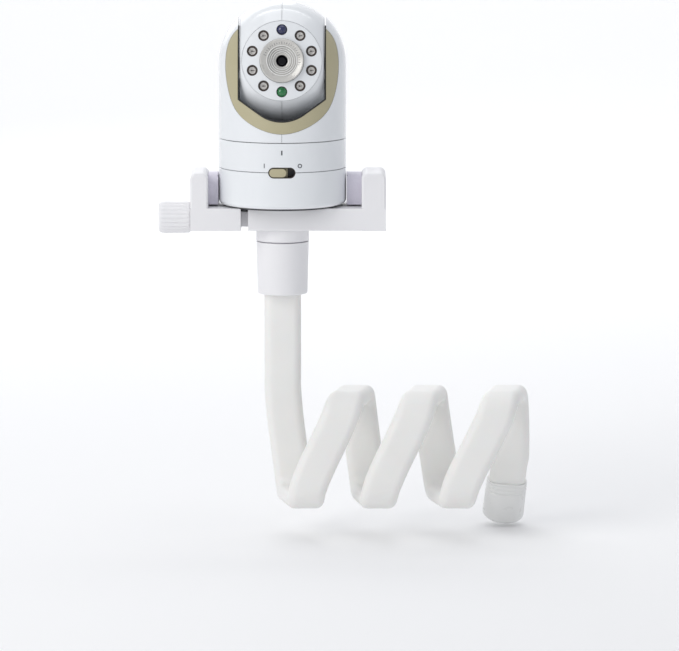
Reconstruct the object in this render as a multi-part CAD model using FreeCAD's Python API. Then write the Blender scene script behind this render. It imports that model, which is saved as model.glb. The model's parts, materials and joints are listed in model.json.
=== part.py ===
"""Baby monitor camera: a pan and tilt nursery camera, the screw clamp that holds it, and the bendable
arm that the clamp stands on. The arm is wound three turns round a horizontal rail.

Row frame, in millimetres: +Z up, the camera looks along -Y, and +X runs along the rail. The origin is
the centre of the rail's cross-section, midway along the stretch of rail that the arm wraps.
"""

import FreeCAD
import Part

import math
import os

V = FreeCAD.Vector
X_AXIS, Y_AXIS, Z_AXIS = V(1, 0, 0), V(0, 1, 0), V(0, 0, 1)
ORIGIN = V(0, 0, 0)

# ---- driving dimensions -------------------------------------------------------------------------

# rail and arm
RAIL_DEPTH = 30.0
RAIL_HEIGHT = 46.0
ARM_WIDTH = 20.7
ARM_THICK = 9.6
RAIL_GAP = 0.4
BEND_R = 9.5
WIRE_R = 1.6
WIRE_HOLE_R = 1.9
WIRE_OFFSET = 4.6
STEM_X = -68.0
STEM_TOP = 103.0
FLEX_MID = 59.0
FLEX_LOW = 35.0

# clamp that holds the camera
BAR_Z0 = 120.5
BAR_Z1 = 133.0
BAR_HALF_DEPTH = 18.0
JAW_TOP = 152.5
FIXED_END = 57.4
FIXED_FACE = 44.0
BAR_LEFT = -19.0
SLIDING_END = -51.0
SLIDING_FACE = -41.2
SLIDING_BAR = -23.0
SCREW_Z = 126.2
SCREW_R = 2.0
TONGUE_HALF_H = 4.15
TONGUE_HALF_D = 10.0
TONGUE_TIP = -45.0
KNOB_R = 8.9
KNOB_LENGTH = 17.7
BOSS_R = 14.7
BOSS_Z0 = 113.5
SOCKET_R_TOP = 14.6
SOCKET_R_BOTTOM = 13.8
SOCKET_Z0 = 83.7
SOCKET_Z1 = 112.9

# camera: base
CAM_R = 35.4
WALL = 2.2
FOOT_H = 1.2
COVER_Z1 = 154.5
BODY_Z0 = 154.8
BODY_Z1 = 170.8
TURRET_Z0 = 171.2
SWITCH_Z = 154.6
SWITCH_W = 15.0
SWITCH_H = 6.0

# camera: turret and head
AXIS_Z = 212.0
SLOT_HALF = 24.3
HEAD_R = 34.6
HEAD_HALF = 23.4
HEAD_WALL = 2.0
HEAD_LOOKS_UP = 8.0
DECK_Z0 = 174.0
DECK_Z1 = 176.0
TRIM_THICK = 1.3
PLATE_R = 22.0
PLATE_EDGE_Y = -26.5
PLATE_CENTRE_Y = -28.8
LED_CIRCLE_R = 17.1
LED_R = 2.5
LED_HOLE_R = 3.0
HOOD_R = 12.1
HUB_R = 11.0
PIVOT_R = 4.0

# gears
PAN_MODULE, PAN_TEETH, PAN_PINION_TEETH = 0.6, 60, 15
TILT_MODULE, TILT_TEETH, TILT_PINION_TEETH = 0.5, 36, 12
GEAR_BACKLASH = 0.12
PRESSURE_ANGLE = math.radians(20)

# worked out from the above
ARM_Y = RAIL_DEPTH / 2 + RAIL_GAP + ARM_THICK / 2
ARM_Z = RAIL_HEIGHT / 2 + RAIL_GAP + ARM_THICK / 2
CAM_Z0 = BAR_Z1 + FOOT_H
HEAD_C = V(0, 0, AXIS_Z)

# ---- helpers ------------------------------------------------------------------------------------


def cyl(r, a, b, axis=Z_AXIS, at=ORIGIN):
    """Cylinder of radius r about a line through at along axis, from distance a to distance b."""
    return Part.makeCylinder(r, b - a, at + axis * a, axis)


def cone(r0, r1, a, b, axis=Z_AXIS, at=ORIGIN):
    return Part.makeCone(r0, r1, b - a, at + axis * a, axis)


def ring(r_out, r_in, a, b, axis=Z_AXIS, at=ORIGIN):
    return cyl(r_out, a, b, axis, at).cut(cyl(r_in, a - 1, b + 1, axis, at))


def box(x0, x1, y0, y1, z0, z1):
    return Part.makeBox(x1 - x0, y1 - y0, z1 - z0, V(x0, y0, z0))


def fuse(first, *others):
    return first.multiFuse(list(others)).removeSplitter()


def prism(points, along):
    """Prism on a closed polygon."""
    return Part.Face(Part.makePolygon(points + [points[0]])).extrude(along)


def turned(profile, axis=Z_AXIS, at=ORIGIN):
    """Solid of revolution: profile is a closed list of (radius, distance along axis)."""
    side = X_AXIS if abs(axis.x) < 0.5 else Z_AXIS
    points = [at + side * r + axis * d for r, d in profile]
    return Part.Face(Part.makePolygon(points + [points[0]])).revolve(at, axis, 360)


def slot_prism(width, height, y0, y1, x, z):
    """Stadium-ended block, long along X, from y0 to y1."""
    r = height / 2
    half = width / 2 - r
    ends = [cyl(r, y0, y1, Y_AXIS, V(x + s * half, 0, z)) for s in (-1, 1)]
    return fuse(box(x - half, x + half, y0, y1, z - r, z + r), *ends)


def moved(shape, offset):
    result = shape.copy()
    result.translate(offset)
    return result


def rotated(shape, centre, axis, degrees):
    result = shape.copy()
    result.rotate(centre, axis, degrees)
    return result


def gear(module, teeth, thickness, bore, phase=0.0):
    """Spur gear standing on z = 0 with its axis along Z; phase turns a tooth away from +X."""
    pitch_r = module * teeth / 2
    base_r = pitch_r * math.cos(PRESSURE_ANGLE)
    tip_r = pitch_r + 0.9 * module
    root_r = pitch_r - 1.2 * module
    half_tooth = math.pi / (2 * teeth) - GEAR_BACKLASH / (2 * pitch_r)
    involute = math.tan(PRESSURE_ANGLE) - PRESSURE_ANGLE
    start_r = max(base_r, root_r)
    steps = 5
    flank = []
    for i in range(steps):
        r = start_r + (tip_r - start_r) * i / (steps - 1)
        roll = math.acos(min(1.0, base_r / r))
        flank.append((r, half_tooth + involute - (math.tan(roll) - roll)))
    flank.insert(0, (root_r, flank[0][1]))
    points = []
    for tooth in range(teeth):
        middle = 2 * math.pi * tooth / teeth + phase
        for r, half in flank:
            points.append(V(r * math.cos(middle - half), r * math.sin(middle - half), 0))
        for r, half in reversed(flank):
            points.append(V(r * math.cos(middle + half), r * math.sin(middle + half), 0))
    body = prism(points, V(0, 0, thickness))
    return body.cut(cyl(bore, -1, thickness + 1)) if bore else body


def save(name, shape):
    solids = shape.Solids
    result = solids[0] if len(solids) == 1 else Part.makeCompound(solids)
    if not solids or not all(s.isValid() and s.Volume > 0 for s in solids):
        raise ValueError(f"{name} has a bad solid")
    result.exportStep(f"parts/{name}.step")


def save_all(pieces, offset):
    for name, shape in pieces.items():
        save(name, moved(shape, offset))

# ---- bendable arm -------------------------------------------------------------------------------

# The arm runs down the stem and then winds three turns: bottom, front, top, back. Its side view is the
# same every turn; what differs from turn to turn is how far along the rail it has got.
STEPS_PER_BEND = 6
STEPS_PER_RUN = 4
TAIL_LEAN = 8.0
TAIL_FLICK = 14.0


def arm_route():
    """Stretches of the arm's side view, from the stem's top: ("run", length) or ("bend", degrees)."""
    across = 2 * (ARM_Y - BEND_R)
    upright = 2 * (ARM_Z - BEND_R)
    route = [("run", STEM_TOP + ARM_Z - BEND_R), ("bend", 90)]
    for turn in range(3):
        route += [("run", across), ("bend", 90), ("run", upright), ("bend", 90), ("run", across)]
        route += [("bend", 90), ("run", upright), ("bend", 90)] if turn < 2 else []
    return route + [("bend", 90 - TAIL_LEAN), ("run", 28.0), ("bend", -TAIL_FLICK), ("run", 15.0)]


# x of the arm's middle at the ends of the route's stretches, where it isn't simply the stem's
TURN_X = [
    -62.5, -60.5, -55.5, -53.2, -36.6, -31.8, -27.5, -25.8, -21.0, -19.0,
    -15.2, -12.6, 4.2, 8.8, 13.0, 14.8, 20.5, 23.0,
    28.4, 31.2, 49.0, 53.4, 57.6, 59.4, 60.0, 59.0, 57.6,
]
STEM_LEAN_FROM = 30.0


def x_along(knots, s):
    """Smooth x at distance s along the route, through knots of (distance, x)."""
    i = max(1, min(len(knots) - 2, next((k for k, p in enumerate(knots) if p[0] > s), len(knots)) - 1))
    if s <= knots[1][0]:
        i = 0
    (s0, x0), (s1, x1) = knots[i], knots[i + 1]

    def slope(k):
        if k == 0:
            return 0.0
        if k == len(knots) - 1:
            return (knots[k][1] - knots[k - 1][1]) / (knots[k][0] - knots[k - 1][0])
        return (knots[k + 1][1] - knots[k - 1][1]) / (knots[k + 1][0] - knots[k - 1][0])

    h = s1 - s0
    t = (s - s0) / h
    a, b = slope(i) * h, slope(i + 1) * h
    x = x0 * (2 * t**3 - 3 * t**2 + 1) + a * (t**3 - 2 * t**2 + t)
    x += x1 * (3 * t**2 - 2 * t**3) + b * (t**3 - t**2)
    return x


def arm_stations():
    """Places along the arm below FLEX_LOW: (middle, width direction, outward direction)."""
    y, z, heading, s = ARM_Y, STEM_TOP, -90.0, 0.0
    side, ends = [], [(STEM_TOP - STEM_LEAN_FROM, STEM_X)]
    for kind, size in arm_route():
        if kind == "run":
            count = STEPS_PER_RUN if s else 16
            for i in range(1, count + 1):
                d = size * i / count
                ahead = math.radians(heading)
                side.append((s + d, y + d * math.cos(ahead), z + d * math.sin(ahead), heading))
            s += size
        else:
            sign = 1 if size > 0 else -1
            count = max(2, round(abs(size) / 90 * STEPS_PER_BEND))
            r = BEND_R if sign > 0 else 3 * BEND_R
            left = math.radians(heading - 90 * sign)
            cy, cz = y + r * math.cos(left), z + r * math.sin(left)
            for i in range(1, count + 1):
                h = heading - size * i / count
                out = math.radians(h + 90 * sign)
                d = r * math.radians(abs(size)) * i / count
                side.append((s + d, cy + r * math.cos(out), cz + r * math.sin(out), h))
            s += r * math.radians(abs(size))
            heading -= size
        y, z = side[-1][1], side[-1][2]
        ends.append((s, None))
    knots = [(0.0, STEM_X), ends[0]] + [(e[0], x) for e, x in zip(ends[1:], TURN_X)]
    stations = []
    for s, y, z, heading in side:
        if s < STEM_TOP - FLEX_LOW - 0.01:
            continue
        h = math.radians(heading)
        out = V(0, -math.sin(h), math.cos(h))
        drift = (x_along(knots, s + 0.05) - x_along(knots, s - 0.05)) / 0.1
        ahead = V(drift, math.cos(h), math.sin(h)).normalize()
        stations.append((V(x_along(knots, s), y, z), ahead.cross(out).normalize(), out))
    first = (V(STEM_X, ARM_Y, FLEX_LOW), X_AXIS, Y_AXIS)
    return [first] + [p for p in stations if (p[0] - first[0]).Length > 2.0]


def stadium_edges(middle, wide, out, width, thick):
    """Two flats and two round edges, in the plane of wide and out."""
    r, half = thick / 2, (width - thick) / 2
    a, b = middle + wide * half, middle - wide * half
    up = out * r
    return [
        Part.LineSegment(b + up, a + up).toShape(),
        Part.Arc(a + up, a + wide * r, a - up).toShape(),
        Part.LineSegment(a - up, b - up).toShape(),
        Part.Arc(b - up, b - wide * r, b + up).toShape(),
    ]


def stadium_wire(middle, wide, out, width, thick):
    return Part.Wire(stadium_edges(middle, wide, out, width, thick))


def round_edges(middle, wide, out, r):
    return [
        Part.Arc(middle + out * r, middle + wide * r, middle - out * r).toShape(),
        Part.Arc(middle - out * r, middle - wide * r, middle + out * r).toShape(),
    ]


def solid_along(*skins):
    """Solid inside the first skin and outside the others. A skin is a row of sections along the arm, each
    a list of edges in the same order, and ruled faces join every edge to the same edge of the next section.
    """
    faces = []
    for sections in skins:
        for here, ahead in zip(sections, sections[1:]):
            faces += [Part.makeRuledSurface(a, b) for a, b in zip(here, ahead)]
    for end in (0, -1):
        rims = [Part.Wire(sections[end]) for sections in skins]
        faces.append(Part.makeFace(rims, "Part::FaceMakerBullseye"))
    shell = Part.makeShell(faces)
    shell.sewShape()
    solid = Part.makeSolid(shell.Shells[0])
    if solid.Volume < 0:
        solid.reverse()
    return solid


def wire_skin(stations, side, r):
    return [round_edges(m + w * (side * WIRE_OFFSET), w, o, r) for m, w, o in stations]


def arm_length(stations):
    return sum((b[0] - a[0]).Length for a, b in zip(stations, stations[1:]))


def check_volume(shape, expected):
    """A tube's volume is its section times its length, but for what the bends take off."""
    if abs(shape.Volume - expected) > 0.02 * expected:
        raise ValueError(f"volume {shape.Volume:.0f} where {expected:.0f} is expected")


def wires_along(stations):
    """The two core wires."""
    wires = [solid_along(wire_skin(stations, side, WIRE_R)) for side in (-1, 1)]
    for wire in wires:
        check_volume(wire, math.pi * WIRE_R**2 * arm_length(stations))
    return Part.makeCompound(wires)


def sleeve_along(stations):
    outer = [stadium_edges(m, w, o, ARM_WIDTH, ARM_THICK) for m, w, o in stations]
    sleeve = solid_along(outer, *[wire_skin(stations, side, WIRE_HOLE_R) for side in (-1, 1)])
    section = (ARM_WIDTH - ARM_THICK) * ARM_THICK + math.pi * ARM_THICK**2 / 4 - 2 * math.pi * WIRE_HOLE_R**2
    check_volume(sleeve, section * arm_length(stations))
    return sleeve


def straight(z0, z1):
    return [(V(STEM_X, ARM_Y, z), X_AXIS, Y_AXIS) for z in (z1, z0)]


def end_cap(stations):
    """Bell-shaped cap that closes the arm's free end, with two grip rings at its neck."""
    middle, wide, out = stations[-1]
    ahead = (middle - stations[-2][0]).normalize()
    length, mouth, end_r = 21.0, 5.0, 11.8
    neck = stadium_wire(middle - ahead * mouth, wide, out, ARM_WIDTH + 2.4, ARM_THICK + 2.4)
    foot_mid = middle + ahead * (length - mouth)
    foot_wires = [
        stadium_wire(foot_mid + ahead * d, wide, out, 2 * r, 2 * r - 0.6)
        for r, d in ((end_r, 0), (end_r - 1.6, 1.6))
    ]
    bell = Part.makeLoft([neck] + foot_wires, True, True)
    pocket_rings = [
        stadium_wire(middle + ahead * d, wide, out, ARM_WIDTH + 0.3, ARM_THICK + 0.3)
        for d in (-mouth - 2, 0.1)
    ]
    pocket = Part.makeLoft(pocket_rings, True, True)
    return bell.cut(pocket)


def build_arm():
    stations = arm_stations()
    save("arm_sleeve", sleeve_along(stations))
    save("arm_core_wires", wires_along(stations))
    for name, z0, z1 in (("lower", FLEX_LOW, FLEX_MID), ("upper", FLEX_MID, STEM_TOP)):
        save(f"stem_{name}_sleeve", sleeve_along(straight(z0, z1)))
        save(f"stem_{name}_wires", wires_along(straight(z0, z1)))
    save("arm_end_cap", end_cap(stations))

# ---- clamp --------------------------------------------------------------------------------------

STEM_AT = V(STEM_X, ARM_Y, 0)
BAR_HALF_SLOT = 0.25
BOLT_R = 2.5
BOLT_BORE_R = 2.56
JAW_ROUND = 3.4
PAD_FRONT, PAD_BACK = -7.0, 13.0
PAD_GAP = 0.25
NUT_X0, NUT_X1 = -44.0, -40.8
KNOB_FLUTES = 18


def edges_at(shape, keep):
    """Edges whose middle passes the test keep(point)."""
    return [e for e in shape.Edges if keep(e.CenterOfMass)]


def jaw_block(x0, x1, outer_x):
    """Upright jaw with its two top corners rounded and softened edges."""
    block = box(x0, x1, -BAR_HALF_DEPTH, BAR_HALF_DEPTH, BAR_Z0, JAW_TOP)
    top = edges_at(block, lambda c: c.z > JAW_TOP - 0.1 and abs(c.y) < 0.1)
    block = block.makeFillet(JAW_ROUND, top)
    return block.makeFillet(1.2, edges_at(block, lambda c: abs(c.x - outer_x) < 0.1 and abs(c.y) > 17))


def pad_recess(face_x, side):
    """Shallow socket in a jaw's inner face that the pad is glued into."""
    x0, x1 = sorted((face_x, face_x + side * 1.5))
    return box(x0, x1, PAD_FRONT - 0.1, PAD_BACK + 0.1, BAR_Z1 + 1.9, JAW_TOP - 2.4)


def jaw_pad(face_x, side):
    """Soft ribbed pad on the inner face of a jaw, with an arched top; side is +1 on the right jaw."""
    contact = side * (CAM_R + PAD_GAP)
    x0, x1 = sorted((contact, face_x))
    body = box(x0, x1, PAD_FRONT, PAD_BACK, BAR_Z1 + 1.0, JAW_TOP - 1.6)
    top = edges_at(body, lambda c: c.z > JAW_TOP - 1.7 and abs(c.x - (x0 + x1) / 2) < 0.1)
    body = body.makeFillet(5.0, top)
    tongue0, tongue1 = sorted((face_x, face_x + side * 1.4))
    key = box(tongue0, tongue1, PAD_FRONT, PAD_BACK, BAR_Z1 + 2.0, JAW_TOP - 2.5)
    ribs = [
        cyl(0.7, BAR_Z1, JAW_TOP, Z_AXIS, V(contact, y, 0))
        for y in (-4.6, -1.8, 4.6, 7.6, 10.6)
    ]
    return fuse(body, key).cut(Part.makeCompound(ribs))


def fixed_jaw():
    """Bar, right-hand jaw, swivel boss and the tongue that the sliding jaw runs on."""
    bar = box(BAR_LEFT, FIXED_END, -BAR_HALF_DEPTH, BAR_HALF_DEPTH, BAR_Z0, BAR_Z1)
    bar = bar.makeFillet(1.2, edges_at(bar, lambda c: abs(c.y) > 17 and c.z < BAR_Z0 + 0.1))
    jaw = jaw_block(FIXED_FACE, FIXED_END, FIXED_END)
    tongue = box(TONGUE_TIP, BAR_LEFT + 2, -TONGUE_HALF_D, TONGUE_HALF_D,
                 SCREW_Z - TONGUE_HALF_H, SCREW_Z + TONGUE_HALF_H)
    boss = cyl(BOSS_R, BOSS_Z0, BAR_Z0 + 2)
    body = fuse(bar, jaw, tongue, boss)
    cuts = [
        pad_recess(FIXED_FACE, 1),
        cyl(SCREW_R + 0.3, TONGUE_TIP - 1, -12.0, X_AXIS, V(0, 0, SCREW_Z)),
        box(NUT_X0 - 0.1, NUT_X1 + 0.1, -3.6, 3.6, SCREW_Z - 3.6, SCREW_Z + 3.6),
        cyl(BOLT_BORE_R, BOSS_Z0 - 1, BAR_Z1),
        cyl(6.6, 128.4, BAR_Z1 + 1),
    ]
    return body.cut(Part.makeCompound(cuts))


def sliding_jaw():
    """Left-hand jaw: its foot is a sleeve that slides along the tongue."""
    foot = box(SLIDING_END, SLIDING_BAR, -BAR_HALF_DEPTH, BAR_HALF_DEPTH, BAR_Z0, BAR_Z1)
    jaw = jaw_block(SLIDING_END, SLIDING_FACE, SLIDING_END)
    room = BAR_HALF_SLOT
    pocket = box(TONGUE_TIP - 2, SLIDING_BAR + 1, -TONGUE_HALF_D - room, TONGUE_HALF_D + room,
                 SCREW_Z - TONGUE_HALF_H - room, SCREW_Z + TONGUE_HALF_H + room)
    screw_hole = cyl(SCREW_R + 0.2, SLIDING_END - 1, TONGUE_TIP, X_AXIS, V(0, 0, SCREW_Z))
    return fuse(foot, jaw).cut(Part.makeCompound([pocket, screw_hole, pad_recess(SLIDING_FACE, -1)]))


def knob():
    """Fluted thumb knob, moulded round the head of the clamp screw."""
    end = SLIDING_END - 0.3
    centre = V(0, 0, SCREW_Z)
    body = turned([
        (0, end - KNOB_LENGTH), (KNOB_R - 2.2, end - KNOB_LENGTH), (KNOB_R - 0.6, end - KNOB_LENGTH + 1.0),
        (KNOB_R, end - KNOB_LENGTH + 3.0), (KNOB_R, end - 0.8), (KNOB_R - 0.8, end), (0, end),
    ], X_AXIS, centre)
    grooves = []
    for i in range(KNOB_FLUTES):
        a = 2 * math.pi * i / KNOB_FLUTES
        at = centre + V(0, math.cos(a), math.sin(a)) * (KNOB_R + 0.45)
        grooves.append(cyl(0.95, end - KNOB_LENGTH - 1, end - 2.2, X_AXIS, at))
    screw_hole = cyl(SCREW_R, end - 12.0, end + 1, X_AXIS, centre)
    return body.cut(Part.makeCompound(grooves + [screw_hole]))


def clamp_screw():
    end = SLIDING_END - 0.3
    return cyl(SCREW_R, end - 12.0, -16.0, X_AXIS, V(0, 0, SCREW_Z)).cut(
        ring(SCREW_R + 1, SCREW_R - 0.4, TONGUE_TIP - 1.8, TONGUE_TIP - 1.2, X_AXIS, V(0, 0, SCREW_Z)))


def build_clamp():
    centre = V(0, 0, SCREW_Z)
    nut = box(NUT_X0, NUT_X1, -3.5, 3.5, SCREW_Z - 3.5, SCREW_Z + 3.5)
    hex_points = [V(4.6 * math.cos(math.radians(a)), 4.6 * math.sin(math.radians(a)), 104.2)
                  for a in range(0, 360, 60)]
    swivel_nut = prism(hex_points, V(0, 0, 3.8)).cut(cyl(BOLT_R + 0.04, 100, 110))
    head = turned([(0, 128.45), (5.4, 128.45), (5.4, 129.4), (4.6, 130.6), (3.4, 131.8), (0, 131.8)])
    socket = cone(SOCKET_R_BOTTOM, SOCKET_R_TOP, SOCKET_Z0, SOCKET_Z1)
    socket = socket.makeFillet(0.8, edges_at(socket, lambda c: c.z < SOCKET_Z0 + 0.1))
    arm_pocket_rings = [
        stadium_wire(V(0, 0, z), X_AXIS, Y_AXIS, ARM_WIDTH + 0.3, ARM_THICK + 0.3)
        for z in (SOCKET_Z0 - 1, STEM_TOP + 0.2)
    ]
    nut_room = prism([p + V(p.x * 0.04, p.y * 0.04, -1.4) for p in hex_points], V(0, 0, 5.4))
    socket = socket.cut(Part.makeCompound([
        Part.makeLoft(arm_pocket_rings, True, True),
        nut_room,
        cyl(BOLT_R + 0.1, 100, 120),
        cyl(1.55, 0, 20, Y_AXIS, V(0, 0, 93.0)),
    ]))
    grub = cyl(1.5, ARM_THICK / 2 + 0.05, 12.6, Y_AXIS, V(0, 0, 93.0))
    save_all({
        "fixed_jaw": fixed_jaw(),
        "fixed_jaw_pad": jaw_pad(FIXED_FACE, 1),
        "sliding_jaw": sliding_jaw(),
        "sliding_jaw_pad": jaw_pad(SLIDING_FACE, -1),
        "clamp_knob": knob(),
        "clamp_screw": clamp_screw(),
        "clamp_nut": nut.cut(cyl(SCREW_R + 0.05, NUT_X0 - 1, NUT_X1 + 1, X_AXIS, centre)),
        "screw_retaining_ring": ring(4.0, SCREW_R - 0.35, TONGUE_TIP - 1.75, TONGUE_TIP - 1.25,
                                     X_AXIS, centre),
        "swivel_bolt": fuse(head, cyl(BOLT_R, 104.2, 129.4)).cut(box(-3, 3, -0.5, 0.5, 130.8, 133)),
        "swivel_friction_disc": ring(12.8, BOLT_R + 0.1, SOCKET_Z1, BOSS_Z0),
        "swivel_nut": swivel_nut,
        "arm_socket": socket,
        "socket_grub_screw": grub.cut(box(-1.2, 1.2, 11.8, 13, 92.7, 93.3)),
    }, STEM_AT)


# ---- camera base --------------------------------------------------------------------------------

BOSS_CIRCLE_R = 25.0
BOSS_ANGLES = (20, 160, 243, 297)
PCB_Z0, PCB_Z1 = 145.6, 147.2
BASE_SCREW_TOP = 160.0
SPEAKER_Z, SPEAKER_R = 144.0, 7.4
JACK_ANGLE = 38.0
JACK_Z = 141.4
BUTTON_ANGLE = -38.0
BUTTON_Z = 141.4
ANTENNA_PIVOT_Y = CAM_R + 4.2
ANTENNA_PIVOT_Z = 163.0
ANTENNA_LENGTH = 62.0
ANTENNA_PIN_R = 1.2
PAN_GEAR_Z0, PAN_GEAR_Z1 = 163.0, 166.6
PAN_CENTRES = PAN_MODULE * (PAN_TEETH + PAN_PINION_TEETH) / 2
PAN_MOTOR_ANGLE = 205.0
SLIDER_W, SLIDER_H, SLIDER_MARGIN = 9.4, 4.6, 0.6
BACK_OF_WALL = CAM_R - WALL


def about_z(shape, degrees):
    """A feature drawn at the back of the camera, turned round it; +X is at -90 degrees."""
    return rotated(shape, ORIGIN, Z_AXIS, degrees)


def at_boss_circle(r, z0, z1):
    return [about_z(cyl(r, z0, z1, Z_AXIS, V(BOSS_CIRCLE_R, 0, 0)), a) for a in BOSS_ANGLES]


def switch_window():
    return slot_prism(SWITCH_W, SWITCH_H, -CAM_R - 2, -BACK_OF_WALL + 3, 0, SWITCH_Z)


def base_cover():
    """Lower housing: a cup with a floor, screw bosses, the speaker grille and the rear openings."""
    outer = cyl(CAM_R, CAM_Z0, COVER_Z1)
    outer = outer.makeFillet(2.6, edges_at(outer, lambda c: abs(c.z - CAM_Z0) < 0.1))
    outer = outer.makeChamfer(0.15, edges_at(outer, lambda c: abs(c.z - COVER_Z1) < 0.1))
    body = outer.cut(cyl(BACK_OF_WALL, CAM_Z0 + WALL, COVER_Z1 + 1))
    body = fuse(body, *at_boss_circle(3.0, CAM_Z0 + 1, PCB_Z0))
    grille = [
        slot_prism(7.6 - 0.9 * abs(i), 1.1, 20, CAM_R + 1, 0, SPEAKER_Z + 2.3 * i)
        for i in (-2, -1, 0, 1, 2)
    ]
    jack_hole = about_z(cyl(4.0, 20, CAM_R + 1, Y_AXIS, V(0, 0, JACK_Z)), JACK_ANGLE)
    button_hole = about_z(cyl(3.2, 20, CAM_R + 1, Y_AXIS, V(0, 0, BUTTON_Z)), BUTTON_ANGLE)
    screw_holes = at_boss_circle(1.25, CAM_Z0 - 1, PCB_Z0 + 1)
    screw_holes += at_boss_circle(2.4, CAM_Z0 - 1, CAM_Z0 + 2.4)
    groove = ring(30.4, 23.6, CAM_Z0 - 1, CAM_Z0 + 0.6)
    return body.cut(Part.makeCompound(
        grille + [jack_hole, button_hole, switch_window(), groove] + screw_holes))


def base_body():
    """Upper housing of the base, with the inner shelf that carries the turret."""
    outer = cyl(CAM_R, BODY_Z0, BODY_Z1)
    outer = outer.makeChamfer(0.15, outer.Edges)
    body = outer.cut(cyl(BACK_OF_WALL, BODY_Z0 - 1, 168.6)).cut(cyl(HUB_R + 0.05, 160, 175))
    knuckles = [
        box(s * 5.9 - 1.5, s * 5.9 + 1.5, CAM_R - 1.2, ANTENNA_PIVOT_Y, ANTENNA_PIVOT_Z - 2.6,
            ANTENNA_PIVOT_Z + 2.6) for s in (-1, 1)
    ]
    knuckles += [
        cyl(2.6, s * 5.9 - 1.5, s * 5.9 + 1.5, X_AXIS, V(0, ANTENNA_PIVOT_Y, ANTENNA_PIVOT_Z))
        for s in (-1, 1)
    ]
    lip = ring(BACK_OF_WALL - 0.1, BACK_OF_WALL - 1.3, BODY_Z0 - 3.0, BODY_Z0 + 1.0)
    lip = lip.cut(box(-9.5, 9.5, -CAM_R, -20, BODY_Z0 - 4, BODY_Z0 + 2))
    lip_root = ring(BACK_OF_WALL + 0.5, BACK_OF_WALL - 1.3, BODY_Z0 + 0.4, BODY_Z0 + 1.6)
    tick = box(-0.4, 0.4, -CAM_R - 1, -CAM_R + 0.25, 164.4, 167.0)
    pin_hole = cyl(ANTENNA_PIN_R, -8, 8, X_AXIS, V(0, ANTENNA_PIVOT_Y, ANTENNA_PIVOT_Z))
    motor_screws = [pan_motor_place(cyl(0.9, 160, 168.7, Z_AXIS, V(0, s * 8.0, 0))) for s in (-1, 1)]
    posts = at_boss_circle(3.0, PCB_Z1, 169)
    body = fuse(body, lip, lip_root, *knuckles, *posts)
    flange_room = box(-9.5, 9.5, -BACK_OF_WALL, -29.0, BODY_Z0 - 4, BODY_Z0 + 4.2)
    screw_holes = at_boss_circle(1.2, PCB_Z1 - 1, BASE_SCREW_TOP + 0.5)
    return body.cut([switch_window(), flange_room, tick, pin_hole] + motor_screws + screw_holes)


def pan_motor_place(shape):
    """Carries something drawn on the Z axis to the pan motor's shaft."""
    a = math.radians(PAN_MOTOR_ANGLE)
    turned_shape = rotated(shape, ORIGIN, Z_AXIS, PAN_MOTOR_ANGLE)
    return moved(turned_shape, V(PAN_CENTRES * math.cos(a), PAN_CENTRES * math.sin(a), 0))


def switch_slider():
    """Slide switch's thumb piece, curved to the housing, and the flange that keeps it in the window."""
    x = -(SWITCH_W - SLIDER_W) / 2 + SLIDER_MARGIN
    thumb = slot_prism(SLIDER_W, SLIDER_H, -CAM_R - 1, -31.4, x, SWITCH_Z)
    thumb = thumb.common(cyl(CAM_R + 0.5, 140, 170))
    flange = box(x - 5.4, x + 5.4, -31.9, -30.9, SWITCH_Z - 3.7, SWITCH_Z + 3.7)
    return fuse(thumb, flange)


def antenna():
    """Flat antenna paddle, folded up against the camera's back."""
    z = ANTENNA_PIVOT_Z
    y = ANTENNA_PIVOT_Y
    paddle = box(-5.0, 5.0, y - 2.4, y + 2.4, z + 4.0, z + ANTENNA_LENGTH)
    paddle = paddle.makeFillet(2.2, edges_at(paddle, lambda c: abs(abs(c.x) - 5) < 0.1))
    neck = box(-4.1, 4.1, y - 2.0, y + 2.0, z, z + 6)
    eye = cyl(2.5, -4.1, 4.1, X_AXIS, V(0, y, z))
    return fuse(paddle, neck, eye).cut(cyl(ANTENNA_PIN_R + 0.05, -9, 9, X_AXIS, V(0, y, z)))


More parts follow.
